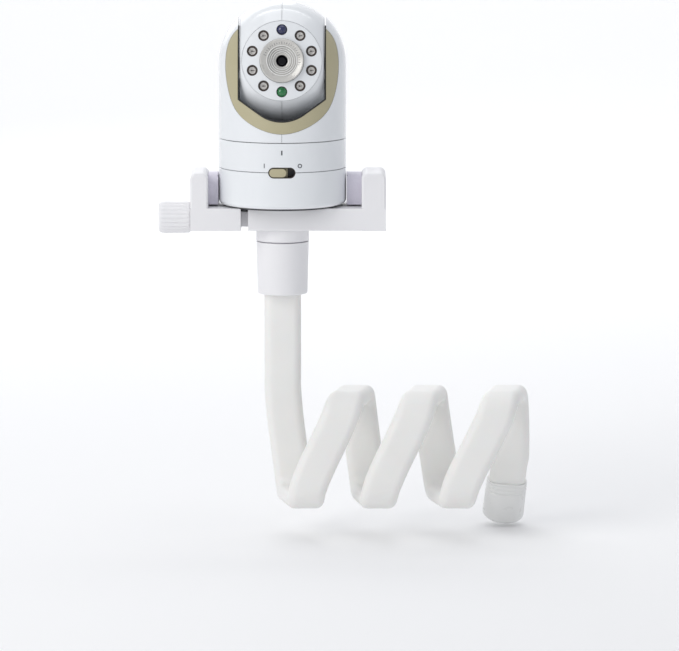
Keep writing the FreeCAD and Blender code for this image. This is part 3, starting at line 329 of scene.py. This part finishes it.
def silicone():
    """Warm white silicone skin: matte, soft sheen, slight cloudiness and a fine tooth."""
    s = Shader("warm_white_silicone", 0.55, Sheen_Weight=0.12, Sheen_Roughness=0.45, Subsurface_Weight=0.06,
               Subsurface_Scale=0.004)
    s.colour((0.83, 0.825, 0.80), (0.875, 0.87, 0.85), s.noise(17, 4.0))
    s.roughness(0.46, 0.62, s.noise(7))
    s.bump(0.05, s.noise(11, 2.0), 0.25)
    return s.bump(0.015, s.noise(0.3), 0.5).material


def cap_plastic():
    s = Shader("satin_white_cap", 0.3, Coat_Weight=0.15)
    s.colour((0.80, 0.80, 0.785), (0.84, 0.84, 0.83), s.noise(12))
    s.roughness(0.26, 0.36, s.noise(4))
    return s.bump(0.01, s.noise(0.5), 0.4).material


def tan_paint():
    """Khaki lacquer over plastic: satin, with a very fine speckle."""
    s = Shader("tan_satin_trim", 0.38, Coat_Weight=0.2, Coat_Roughness=0.25)
    s.rounded(0.3)
    s.colour((0.43, 0.39, 0.245), (0.50, 0.455, 0.30), s.noise(0.25, 1.0))
    s.roughness(0.33, 0.43, s.noise(3))
    return s.bump(0.008, s.noise(0.2), 0.5).material


def pearl():
    """Pearl-silver lacquer on the lens hood, smooth, with a soft drift in tone."""
    s = Shader("pearl_silver_hood", 0.28, metallic=0.2, Coat_Weight=0.35, Coat_Roughness=0.12)
    s.colour((0.56, 0.55, 0.52), (0.62, 0.61, 0.58), s.noise(7))
    return s.roughness(0.24, 0.34, s.noise(5)).material


def shaded_lavender_pad():
    """Foam rubber pads, matte and finely pitted; their lavender-grey tone, darker than the clamp's white,
    is painted shade of the jaws' inner faces.
    """
    s = Shader("lavender_grey_pad_painted_shade", 0.8, Sheen_Weight=0.2, Sheen_Roughness=0.6)
    s.rounded(0.4)
    s.colour((0.71, 0.68, 0.78), (0.78, 0.75, 0.84), s.noise(1.2, 4.0))
    s.roughness(0.7, 0.9, s.noise(2))
    return s.bump(0.08, s.noise(0.4, 2.0), 0.6).material


def dark_rubber():
    s = Shader("dark_grey_rubber", 0.75)
    s.colour((0.055, 0.055, 0.06), (0.085, 0.085, 0.09), s.noise(3))
    s.roughness(0.65, 0.85, s.noise(1.5))
    return s.bump(0.04, s.noise(0.3), 0.5).material


def dark_plastic(name, first, second, roughness):
    s = Shader(name, roughness)
    s.colour(first, second, s.noise(3))
    s.roughness(roughness - 0.06, roughness + 0.06, s.noise(1.5))
    return s.bump(0.01, s.noise(0.25), 0.4).material


def jewel(name, first, second):
    """Glossy tinted resin of the sensor's or status light's dome."""
    s = Shader(name, 0.07, Coat_Weight=0.8, Coat_Roughness=0.03)
    s.colour(first, second, s.noise(1.4))
    s.roughness(0.05, 0.10, s.noise(0.8))
    return s.bump(0.004, s.noise(1.0), 0.3).material


def clear_resin():
    s = Shader("clear_lamp_resin", 0.04, Alpha=0.08, IOR=1.48, Coat_Weight=0.5, Coat_Roughness=0.03)
    s.colour((0.97, 0.97, 0.98), (0.93, 0.94, 0.96), s.noise(2))
    return s.bump(0.004, s.noise(1.2), 0.3).material


def lens_coating():
    """Near-black front element with a faint violet tint from its coating."""
    s = Shader("coated_lens_glass", 0.04, Coat_Weight=0.15, Coat_Roughness=0.02, Specular_IOR_Level=0.25)
    s.colour((0.002, 0.002, 0.004), (0.004, 0.003, 0.007), s.noise(3))
    return s.roughness(0.03, 0.06, s.noise(2)).material


def bright_metal(name, base, roughness, grain):
    """Plated or brushed metal with fine scratches."""
    s = Shader(name, roughness, metallic=1.0)
    s.rounded(0.12)
    s.colour(base, tuple(c * 0.88 for c in base), s.noise(2.5))
    s.roughness(roughness - 0.05, roughness + 0.08, s.noise(0.8))
    return s.bump(0.004, s.noise(grain, 2.0, (1, 1, 8)), 0.5).material


def reflector():
    """Pale moulded reflector with a vacuum-plated skin, slightly hazy."""
    s = Shader("pale_reflector", 0.3, metallic=0.3)
    s.colour((0.80, 0.78, 0.74), (0.88, 0.86, 0.83), s.noise(0.9))
    return s.roughness(0.24, 0.36, s.noise(0.6)).material


def circuit_board():
    """Green solder mask with faint copper runs under it."""
    s = Shader("green_circuit_board", 0.3, Coat_Weight=0.4)
    s.colour((0.01, 0.10, 0.04), (0.03, 0.20, 0.08), s.noise(1.1, 0.0, (1, 6, 1)))
    s.roughness(0.25, 0.4, s.noise(0.7))
    return s.bump(0.02, s.noise(0.8, 0.0), 0.4).material


def nylon():
    s = Shader("natural_nylon", 0.42, Subsurface_Weight=0.05, Subsurface_Scale=0.002)
    s.colour((0.70, 0.68, 0.60), (0.76, 0.74, 0.67), s.noise(2))
    s.roughness(0.36, 0.5, s.noise(1))
    return s.bump(0.01, s.noise(0.4), 0.5).material


def speaker_cloth():
    """Fine black woven cloth behind the speaker's slots."""
    s = Shader("black_speaker_cloth", 0.9, Sheen_Weight=0.3)
    s.colour((0.012, 0.012, 0.014), (0.035, 0.035, 0.038), s.noise(0.3, 0.0, (1, 1, 3)))
    return s.bump(0.1, s.noise(0.3, 0.0), 0.8).material


def studio_paper():
    s = Shader("pale_paper", 0.9)
    s.colour((0.92, 0.92, 0.922), (0.935, 0.935, 0.937), s.noise(900))
    return s.material


def make_materials():
    return {
        "housing": glossy_housing(),
        "clamp": satin_clamp(),
        "silicone": silicone(),
        "cap": cap_plastic(),
        "tan": tan_paint(),
        "pearl": pearl(),
        # the pad finish's lavender-grey tone is painted shade of the jaws' inner faces
        "pad": shaded_lavender_pad(),
        "rubber": dark_rubber(),
        "black": dark_plastic("black_plastic", (0.012, 0.012, 0.013), (0.022, 0.022, 0.024), 0.4),
        "brown": dark_plastic("dark_brown_slot", (0.030, 0.022, 0.018), (0.05, 0.038, 0.03), 0.35),
        "cup": dark_plastic("brown_lamp_cup", (0.040, 0.028, 0.024), (0.062, 0.046, 0.040), 0.3),
        "mark": dark_plastic("grey_print", (0.07, 0.07, 0.085), (0.10, 0.10, 0.115), 0.5),
        "navy": jewel("navy_sensor_dome", (0.008, 0.012, 0.06), (0.016, 0.022, 0.10)),
        "green": jewel("green_light_dome", (0.0, 0.12, 0.025), (0.005, 0.20, 0.05)),
        "clear": clear_resin(),
        "lens": lens_coating(),
        "silver": reflector(),
        "steel": bright_metal("plated_steel", (0.62, 0.62, 0.63), 0.28, 0.25),
        "board": circuit_board(),
        "nylon": nylon(),
        "cloth": speaker_cloth(),
        "paper": studio_paper(),
    }


# which finish each record slot gets on the CAD nodes that stay
SLOT_FINISH = {
    "arm_silicone": "silicone", "arm_cap": "cap", "core_wire": "steel", "clamp_white": "clamp",
    "clamp_pad": "pad", "hardware": "steel", "camera_white": "housing", "tan_trim": "tan",
    "pearl_hood": "pearl", "lens": "lens", "clear_lamp": "clear", "lamp_cup": "cup", "dark_sensor": "navy",
    "green_light": "green", "mark_grey": "mark", "dark_plastic": "black", "circuit_green": "board",
    "gear_nylon": "nylon", "motor_can": "steel", "foot_rubber": "rubber",
}


def dress_nodes(materials):
    """Gives every CAD node its finish."""
    for part in frame["record"]["subparts"]:
        node = NODES[part["node"]]
        finish = materials[SLOT_FINISH[part["material_slot"]]]
        if part["node"] == "speaker":
            finish = materials["cloth"]
        node.data.materials.clear()
        node.data.materials.append(finish)


# ---- bendable arm -------------------------------------------------------------------------------

ARM_WIDTH, ARM_THICK = 20.6, 9.5
ARM_Y, ARM_Z = AXIS_Y, 28.2
BEND_R = 9.5
STEM_TOP, FLEX_LOW, FLEX_MID, FLEX_TOP = 103.0, 35.0, 59.0, 82.0
TAIL_LEAN, TAIL_FLICK = 8.0, 14.0
TAIL_RUN, CAP_RUN = 28.0, 15.0
STATION_GAP = 1.5
STEM_LEAN_FROM = 30.0
# x of the arm's middle at the ends of the route's stretches
TURN_X = [
    -62.5, -60.5, -55.5, -53.2, -36.6, -31.8, -27.5, -25.8, -21.0, -19.0,
    -15.2, -12.6, 4.2, 8.8, 13.0, 14.8, 20.5, 23.0,
    28.4, 31.2, 49.0, 53.4, 57.6, 59.4, 60.0, 59.0, 57.6,
]


def arm_route():
    """Stretches of the arm's side view, from the stem's top: ("run", length) or ("bend", degrees)."""
    across = 2 * (ARM_Y - BEND_R)
    upright = 2 * (ARM_Z - BEND_R)
    route = [("run", STEM_TOP + ARM_Z - BEND_R), ("bend", 90)]
    for turn in range(3):
        route += [("run", across), ("bend", 90), ("run", upright), ("bend", 90), ("run", across)]
        route += [("bend", 90), ("run", upright), ("bend", 90)] if turn < 2 else []
    tail = [("bend", 90 - TAIL_LEAN), ("run", TAIL_RUN), ("bend", -TAIL_FLICK), ("run", CAP_RUN)]
    return route + tail


def x_along(knots, s):
    """Smooth x at distance s along the route, through knots of (distance, x)."""
    i = 0
    while i < len(knots) - 2 and s > knots[i + 1][0]:
        i += 1

    def slope(k):
        if k == 0:
            return 0.0
        later = min(k + 1, len(knots) - 1)
        return (knots[later][1] - knots[k - 1][1]) / (knots[later][0] - knots[k - 1][0])

    (s0, x0), (s1, x1) = knots[i], knots[i + 1]
    span = s1 - s0
    t = (s - s0) / span
    lead = slope(i) * span * (t**3 - 2 * t**2 + t) + slope(i + 1) * span * (t**3 - t**2)
    return x0 * (2 * t**3 - 3 * t**2 + 1) + x1 * (3 * t**2 - 2 * t**3) + lead


def side_view():
    """Points (distance, y, z, heading in degrees) and the distances at which the stretches end."""
    y, z, heading, s = ARM_Y, STEM_TOP, -90.0, 0.0
    points, ends = [(0.0, y, z, heading)], []
    for kind, size in arm_route():
        if kind == "run":
            count = max(2, round(size / STATION_GAP))
            a = math.radians(heading)
            for i in range(1, count + 1):
                d = size * i / count
                points.append((s + d, y + d * math.cos(a), z + d * math.sin(a), heading))
            s += size
        else:
            sign = 1 if size > 0 else -1
            r = BEND_R if sign > 0 else 3 * BEND_R
            centre = math.radians(heading - 90 * sign)
            cy, cz = y + r * math.cos(centre), z + r * math.sin(centre)
            count = max(6, round(abs(size) / 7))
            length = r * math.radians(abs(size))
            for i in range(1, count + 1):
                h = heading - size * i / count
                out = math.radians(h + 90 * sign)
                points.append((s + length * i / count, cy + r * math.cos(out), cz + r * math.sin(out), h))
            s += length
            heading -= size
        y, z = points[-1][1], points[-1][2]
        ends.append(s)
    return points, ends


def arm_stations():
    """Places along the whole arm: (middle, width direction, outward direction, distance)."""
    points, ends = side_view()
    knots = [(0.0, AXIS_X), (STEM_TOP - STEM_LEAN_FROM, AXIS_X)] + list(zip(ends, TURN_X))
    stations = []
    for s, y, z, heading in points:
        h = math.radians(heading)
        out = Vector((0, -math.sin(h), math.cos(h)))
        drift = (x_along(knots, s + 0.05) - x_along(knots, s - 0.05)) / 0.1 if s > 1 else 0.0
        ahead = Vector((drift, math.cos(h), math.sin(h))).normalized()
        stations.append((Vector((x_along(knots, s), y, z)), ahead.cross(out).normalized(), out, s))
    return stations


def stadium_ring(middle, wide, out, width, thick, per_end=14):
    """Points round a stadium: two flats and two round edges."""
    r, half = thick / 2, (width - thick) / 2
    points = []
    for side in (1, -1):
        for i in range(per_end):
            a = math.pi * i / (per_end - 1) - math.pi / 2
            across, over = side * (half + r * math.cos(a)), side * r * math.sin(a)
            points.append(middle + wide * across + out * over)
        for i in (1, 2, 3):
            points.append(middle + wide * (side * half * (1 - i / 2)) + out * (side * r))
    return points


def arm_skin(name, stations, material, cap_start, cap_end):
    rings = [stadium_ring(m, w, o, ARM_WIDTH, ARM_THICK) for m, w, o, _ in stations]
    verts, faces = loft(rings, cap_start, cap_end)
    return add_mesh(name, verts, faces, material, None)


def make_arm(materials):
    stations = arm_stations()
    silicone_skin = materials["silicone"]

    def stretch(z_high, z_low):
        count = round((z_high - z_low) / STATION_GAP)
        step = (z_high - z_low) / count
        return [(Vector((AXIS_X, ARM_Y, z_high - step * i)), X, Y, 0.0) for i in range(count + 1)]

    upper = arm_skin("stem_upper_skin", stretch(STEM_TOP, FLEX_MID), silicone_skin, True, False)
    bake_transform(upper)
    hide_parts("stem_upper_sleeve", "stem_upper_wires")
    lower = arm_skin("stem_lower_skin", stretch(FLEX_MID, FLEX_LOW), silicone_skin, False, False)
    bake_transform(lower)
    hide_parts("stem_lower_sleeve", "stem_lower_wires")
    below = [p for p in stations if p[3] > STEM_TOP - FLEX_LOW + 0.4]
    first = (Vector((AXIS_X, ARM_Y, FLEX_LOW)), X, Y, 0.0)
    coil = arm_skin("arm_coil_skin", [first] + below, silicone_skin, False, True)
    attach(coil, "arm")
    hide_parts("arm_sleeve", "arm_core_wires")
    make_end_cap(stations, materials["cap"])


CAP_NECK, CAP_FOOT, CAP_ROUND = -5.0, 16.0, 1.6
CAP_END_R = 11.7
CAP_FLAT = 0.4
CAP_WALLS = 2.2
CAP_BULGE = 0.5
GRIP_GROOVES = (-3.6, -1.4, 0.8)
GROOVE_DEPTH, GROOVE_WIDTH = 0.75, 0.32


def make_end_cap(stations, material):
    """Bell-shaped cap: oval at the neck, round and slightly domed at its foot, three grip grooves."""
    middle, wide, out, _ = stations[-1]
    ahead = (middle - stations[-2][0]).normalized()
    neck_width, neck_thick = ARM_WIDTH + CAP_WALLS, ARM_THICK + CAP_WALLS
    end_width, end_thick = 2 * CAP_END_R, 2 * CAP_END_R - CAP_FLAT
    rings = []
    steps = 84
    for i in range(steps + 1):
        t = i / steps
        d = CAP_NECK + (CAP_FOOT - CAP_NECK) * t
        ease = t * t * (3 - 2 * t)
        width = neck_width + (end_width - neck_width) * t
        thick = neck_thick + (end_thick - neck_thick) * (0.35 * t + 0.65 * ease)
        groove = sum(GROOVE_DEPTH * math.exp(-((d - place) / GROOVE_WIDTH) ** 2) for place in GRIP_GROOVES)
        rings.append(stadium_ring(middle + ahead * d, wide, out, width - groove, thick - groove))
    for i in range(1, 9):
        a = math.pi / 2 * i / 8
        shrink = 2 * CAP_ROUND * (1 - math.cos(a))
        d = CAP_FOOT + CAP_ROUND * math.sin(a)
        rings.append(stadium_ring(middle + ahead * d, wide, out, end_width - shrink, end_thick - shrink))
    face = CAP_FOOT + CAP_ROUND
    for i in range(1, 8):
        t = i / 8
        size = (end_thick - 2 * CAP_ROUND) * (1 - t)
        centre = middle + ahead * (face + CAP_BULGE * (1 - (1 - t) ** 2))
        rings.append(stadium_ring(centre, wide, out, size + CAP_FLAT * (1 - t), size))
    mouth = [stadium_ring(middle + ahead * CAP_NECK, wide, out, ARM_WIDTH + 0.1, ARM_THICK + 0.1)]
    verts, faces = loft(mouth + rings, False, True)
    cap = add_mesh("arm_end_bell", verts, faces, material, "arm", sharp=50)
    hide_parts("arm_end_cap")


# ---- clamp --------------------------------------------------------------------------------------

KNOB_INNER_X, KNOB_LENGTH, KNOB_R = -119.3, 17.6, 8.85
SCREW_Z = 126.2
KNOB_RIBS = 22
KNOB_SEGMENTS = KNOB_RIBS * 10
RIB_DEPTH, RIB_FLAT = 0.62, 0.1
RIBS_END, RIBS_FADE = 16.4, 1.2


def knob_ring(depth, radius, ribbed=0.0):
    """Ring across the knob, depth outward from its inner end; ribbed is the share of the ribs' depth."""
    ring = []
    for i in range(KNOB_SEGMENTS):
        a = 2 * math.pi * i / KNOB_SEGMENTS
        r = radius - RIB_DEPTH * max(0.0, math.cos(KNOB_RIBS * a) - RIB_FLAT) ** 0.8 * ribbed
        ring.append(Vector((KNOB_INNER_X - depth, AXIS_Y + r * math.cos(a), SCREW_Z + r * math.sin(a))))
    return ring


def make_knob(material):
    """Thumb knob, rounded off at both ends, with flat-topped ribs and a shallow dish in its outer end."""
    outline = [
        (0.0, 0.86), (0.25, 0.93), (0.7, 0.97), (1.6, 0.985), (3.0, 1.0), (14.6, 1.0), (15.4, 0.99),
        (16.2, 0.97), (17.0, 0.93), (17.5, 0.88), (KNOB_LENGTH, 0.82),
    ]
    dish = [(KNOB_LENGTH - 0.6, 0.3), (KNOB_LENGTH - 0.5, 5.2), (KNOB_LENGTH, 5.6)]
    rings = [knob_ring(depth, r) for depth, r in dish]
    for depth, share in reversed(outline):
        ribbed = min(1.0, max(0.0, (RIBS_END - depth) / RIBS_FADE)) * min(1.0, max(0.1, depth))
        rings.append(knob_ring(depth, KNOB_R * share, ribbed))
    verts, faces = loft(rings)
    knob = add_mesh("ribbed_thumb_knob", verts, faces, material, "knob", sharp=40)
    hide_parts("clamp_knob")


# ---- camera face --------------------------------------------------------------------------------

LAMP_CIRCLE = 17.1
LAMP_R, LAMP_TIP = 2.5, 27.7
JEWEL_R, JEWEL_TIP = 2.8, 28.3
BOARD_FRONT = 22.6
CUP_R, CUP_BORE, CUP_RIM = 2.9, 1.88, 26.95
# eight of the ten places on the circle; the sensor has the top one and the status light the bottom one
LAMP_ANGLES = [36 * i for i in range(1, 10) if i != 5]


def on_face(angle, radius, forward):
    """Point in front of the head's centre: angle in degrees clockwise from the top."""
    a = math.radians(angle)
    return HEAD_CENTRE + X * (radius * math.sin(a)) + FACE_UP * (radius * math.cos(a)) + FORWARD * forward


def dome(spot, r, tip, flat=0.0):
    """Closed round lamp: straight shank, then a dome that reaches tip, flattened by the share flat."""
    profile = [(0.02, BOARD_FRONT + 0.1), (r - 0.15, BOARD_FRONT + 0.1), (r, BOARD_FRONT + 0.3)]
    height = r * (1 - flat)
    for i in range(13):
        a = math.pi / 2 * i / 12
        profile.append((max(0.02, r * math.cos(a)), tip - height + height * math.sin(a)))
    return turned(profile, spot, FORWARD, X, 32)


def make_lamps(materials):
    """Clear lamps: a resin dome over a brown cup, a bright dish and the tiny emitter on its post."""
    domes, cups, dishes, emitters = [], [], [], []
    for angle in LAMP_ANGLES:
        spot = on_face(angle, LAMP_CIRCLE, 0)
        domes.append(dome(spot, LAMP_R - 0.03, LAMP_TIP))
        cups.append(turned([
            (CUP_R, BOARD_FRONT), (CUP_R, CUP_RIM - 0.2), (CUP_R - 0.25, CUP_RIM),
            (CUP_BORE, CUP_RIM - 0.7), (CUP_BORE, BOARD_FRONT),
        ], spot, FORWARD, X, 36, closed=True))
        dishes.append(turned([
            (1.85, 26.15), (1.65, 26.05), (1.4, 25.7), (0.9, 25.1), (0.05, 24.95), (0.05, 24.8),
            (0.9, 24.85), (1.5, 25.4), (1.85, 25.8),
        ], spot, FORWARD, X, 32, closed=True))
        emitters.append(block(spot + FORWARD * 25.3 - X * 0.3, X, FACE_UP, FORWARD, (0.75, 0.75, 0.6)))
        emitters.append(block(spot + FORWARD * 25.9 + X * 0.45, X, FACE_UP, FORWARD, (1.5, 0.3, 0.25)))
    lamps = add_mesh("lamp_domes", *merged(domes), materials["clear"], "head", sharp=40)
    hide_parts("infrared_lamps")
    sleeves = add_mesh("lamp_sleeves", *merged(cups), materials["cup"], "head", sharp=30)
    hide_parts("lamp_holders")
    bowls = add_mesh("lamp_dishes", *merged(dishes), materials["silver"], "head", sharp=30)
    posts = add_mesh("lamp_emitters", *merged(emitters), materials["cup"], "head", sharp=30)
    for name, angle, finish, node, slot in (
        ("light_sensor_dome", 0, "navy", "light_sensor", "dark_sensor"),
        ("status_light_dome", 180, "green", "status_light", "green_light"),
    ):
        verts, faces = dome(on_face(angle, LAMP_CIRCLE, 0), JEWEL_R, JEWEL_TIP, 0.15)
        piece = add_mesh(name, verts, faces, materials[finish], "head", sharp=40)
        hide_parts(node)


HOOD_R = 12.1
HOOD_STEPS = ((8.0, 28.75), (6.85, 27.95), (5.75, 27.2), (4.65, 26.5))
APERTURE_R = 3.3
# the funnel's sloping wall, from (radius, distance) at its foot to its lip
FUNNEL_FOOT, FUNNEL_LIP = Vector((8.55, 29.7)), Vector((10.9, 30.6))
TICK_R, TICK_WIDTH, TICK_LONG, TICK_SHORT = 9.75, 0.24, 1.5, 0.85


def hood_profile():
    """Funnel that steps down to the aperture."""
    profile = [(HOOD_R, 24.9), (HOOD_R, 30.1), (11.95, 30.6), (11.6, 30.9), (11.25, 30.85)]
    profile += [tuple(FUNNEL_LIP), tuple(FUNNEL_FOOT)]
    level = FUNNEL_FOOT.y
    for r, floor in HOOD_STEPS:
        profile.append((r, level))
        profile += [(r - 0.04, floor + 0.12), (r - 0.16, floor)]
        level = floor
    profile += [(APERTURE_R + 0.3, level - 0.1), (APERTURE_R, level - 0.3), (APERTURE_R, 24.0), (5.6, 24.0),
                (5.6, 14.0), (7.0, 14.0), (7.0, 24.9)]
    return profile


def make_hood(materials):
    verts, faces = turned(hood_profile(), HEAD_CENTRE, FORWARD, X, 128, closed=True)
    hood = add_mesh("stepped_lens_hood", verts, faces, materials["pearl"], "lens", sharp=32)
    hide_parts("lens_hood")
    # raised lips round the steps are real ridges; they take the whiter cap plastic, so their bright rings
    # are painted highlight
    lips = []
    level = FUNNEL_FOOT.y
    for r, floor in HOOD_STEPS:
        lips.append(turned([
            (r + 0.02, level - 0.1), (r + 0.02, level + 0.3), (r + 0.14, level + 0.42),
            (r + 0.36, level + 0.42), (r + 0.5, level + 0.3), (r + 0.52, level - 0.1),
        ], HEAD_CENTRE, FORWARD, X, 96, closed=True))
        level = floor
    highlight_rims = add_mesh("hood_step_rims_painted_highlight", *merged(lips), materials["cap"], "lens", sharp=40)
    bore = [(APERTURE_R - 0.03, 26.1), (APERTURE_R - 0.03, 24.05), (APERTURE_R - 0.5, 24.05),
            (APERTURE_R - 0.25, 25.2)]
    verts, faces = turned(bore, HEAD_CENTRE, FORWARD, X, 64, closed=True)
    baffle = add_mesh("lens_baffle", verts, faces, materials["black"], "lens", sharp=40)
    # plain focusing scale round the top and the sides of the funnel
    slope = (FUNNEL_LIP - FUNNEL_FOOT).normalized()
    tick_forward = FUNNEL_FOOT.y + (TICK_R - FUNNEL_FOOT.x) * slope.y / slope.x
    ticks = []
    for i in range(-9, 14):
        a = math.radians(8 * i)
        outward = X * math.sin(a) + FACE_UP * math.cos(a)
        along = outward * slope.x + FORWARD * slope.y
        lift = along.cross(outward.cross(FORWARD)).normalized()
        if lift.dot(FORWARD) < 0:
            lift = -lift
        reach = TICK_LONG if i % 3 == 0 else TICK_SHORT
        middle = HEAD_CENTRE + outward * TICK_R + FORWARD * tick_forward + lift * 0.01
        ticks.append(block(middle, outward.cross(FORWARD), along, lift, (TICK_WIDTH, reach, 0.06)))
    marks = add_mesh("focus_scale_marks", *merged(ticks), materials["mark"], "lens", sharp=30)


# ---- turret -------------------------------------------------------------------------------------

OPENING_HALF, OPENING_SIDE_Z, OPENING_TOP_Z = 24.3, 194.2, 234.0
OPENING_CORNER = (13.3, 186.9)
OPENING_BOTTOM_Z = 182.4
# the black band along the opening's edge is painted shade of the gap between the head and the turret
SHADE_BAND_FRONT_R, SHADE_BAND_BACK_R, SHADE_BAND_WIDTH, SHADE_BAND_LAP = 35.3, 33.7, 0.76, 0.1


def opening_outline():
    """(x, z) along the front opening's edge, down from the top right to the bottom and up again."""
    corner_x, corner_z = OPENING_CORNER
    rise = corner_z - OPENING_BOTTOM_Z
    arc_r = (corner_x**2 + rise**2) / (2 * rise)
    widest = math.asin(corner_x / arc_r)
    right = []
    for i in range(33):
        right.append((OPENING_HALF, OPENING_TOP_Z + (OPENING_SIDE_Z - OPENING_TOP_Z) * i / 32))
    for i in range(1, 11):
        t = i / 10
        x = OPENING_HALF + (corner_x - OPENING_HALF) * t
        right.append((x, OPENING_SIDE_Z + (corner_z - OPENING_SIDE_Z) * t))
    for i in range(1, 21):
        a = widest * (1 - i / 20)
        right.append((arc_r * math.sin(a), OPENING_BOTTOM_Z + arc_r * (1 - math.cos(a))))
    return right + [(-x, z) for x, z in reversed(right[:-1])]


def on_capsule(x, z, r):
    """Point on the front of the turret's outline, a cylinder with a dome on top, at radius r."""
    above = max(0.0, z - HEAD_CENTRE.z)
    return Vector((AXIS_X + x, AXIS_Y - math.sqrt(max(0.0, r * r - x * x - above * above)), z))


def make_gap_shade_band(material):
    """Thin black band inside the edge of the turret's front opening: painted shade standing in for the
    shadow in the gap between the head and the turret.
    """
    outline = opening_outline()
    rings = []
    for i, (x, z) in enumerate(outline):
        x0, z0 = outline[max(0, i - 1)]
        x1, z1 = outline[min(len(outline) - 1, i + 1)]
        run = math.hypot(x1 - x0, z1 - z0)
        inward_x, inward_z = (z1 - z0) / run, -(x1 - x0) / run
        ring = []
        for inset, r in (
            (-SHADE_BAND_LAP, SHADE_BAND_FRONT_R), (SHADE_BAND_WIDTH, SHADE_BAND_FRONT_R),
            (SHADE_BAND_WIDTH, SHADE_BAND_BACK_R), (-SHADE_BAND_LAP, SHADE_BAND_BACK_R),
        ):
            ring.append(on_capsule(x + inward_x * inset, z + inward_z * inset, r))
        rings.append(ring)
    shade_band = add_mesh("opening_gap_painted_shade", *loft(rings), material, "turret", sharp=30)


# ---- small details on the base ------------------------------------------------------------------

CAM_R = 35.4
SWITCH_Z, SWITCH_W, SWITCH_H = 154.6, 15.0, 6.0
PAN_MARK_Z, PAN_MARK_SIZE = 165.7, (0.7, 2.5, 0.3)
INLET_Z, INLET_ANGLE = 141.4, math.radians(38)


def stadium_xz(width, height, per_end=16):
    """(x, z) points round a flat-sided oval lying on its side."""
    r, half = height / 2, (width - height) / 2
    points = []
    for side in (1, -1):
        for i in range(per_end):
            a = math.pi * i / (per_end - 1) - math.pi / 2
            points.append((side * (half + r * math.cos(a)), side * r * math.sin(a)))
    return points


def on_barrel(x, z, r):
    """Point on the front of a cylinder of radius r about the camera's axis."""
    return Vector((AXIS_X + x, AXIS_Y - math.sqrt(r * r - x * x), z))


def make_switch_liner(material):
    """Dark well round the slide switch, following the housing's curve."""
    rings = []
    for margin, r in ((0.1, CAM_R + 0.02), (0.8, CAM_R - 0.1), (0.9, CAM_R - 2.0), (0.1, CAM_R - 2.2)):
        outline = stadium_xz(SWITCH_W - margin, SWITCH_H - margin)
        rings.append([on_barrel(x, SWITCH_Z + z, r) for x, z in outline])
    rings.append(rings[0])
    liner = add_mesh("switch_well", *loft(rings, False, False), material, "camera_base", sharp=30)
    outline = stadium_xz(SWITCH_W - 0.4, SWITCH_H - 0.4)
    back = [[on_barrel(x, SWITCH_Z + z, r) for x, z in outline] for r in (30.85, 30.6)]
    floor = add_mesh("switch_well_floor", *loft(back), material, "camera_base", sharp=30)


def make_pan_mark(material):
    """Short printed line on the base that shows where the turret's middle is."""
    mark = block(Vector((AXIS_X, AXIS_Y - CAM_R + 0.2, PAN_MARK_Z)), X, Z, -Y, PAN_MARK_SIZE)
    tick = soften(add_mesh("pan_centre_mark", *mark, material, "camera_base", sharp=30), 0.05)


def make_inlet_contact(material):
    """Bright spring sleeve inside the power inlet."""
    out = Vector((-math.sin(INLET_ANGLE), math.cos(INLET_ANGLE), 0))
    centre = Vector((AXIS_X, AXIS_Y, INLET_Z))
    profile = [(2.75, 27.0), (2.75, 35.3), (2.6, 35.3), (2.55, 34.0), (2.6, 27.0)]
    verts, faces = turned(profile, centre, out, Z, 48, closed=True)
    sleeve = add_mesh("inlet_contact_sleeve", verts, faces, material, "camera_base", sharp=30)


make_camera()
materials = make_materials()
make_studio()
make_floor(materials["paper"])
dress_nodes(materials)
make_arm(materials)
make_knob(materials["clamp"])
make_lamps(materials)
make_hood(materials)
# black band round the front opening: painted shade of the gap
make_gap_shade_band(materials["black"])
make_switch_liner(materials["brown"])
make_pan_mark(materials["mark"])
make_inlet_contact(materials["steel"])
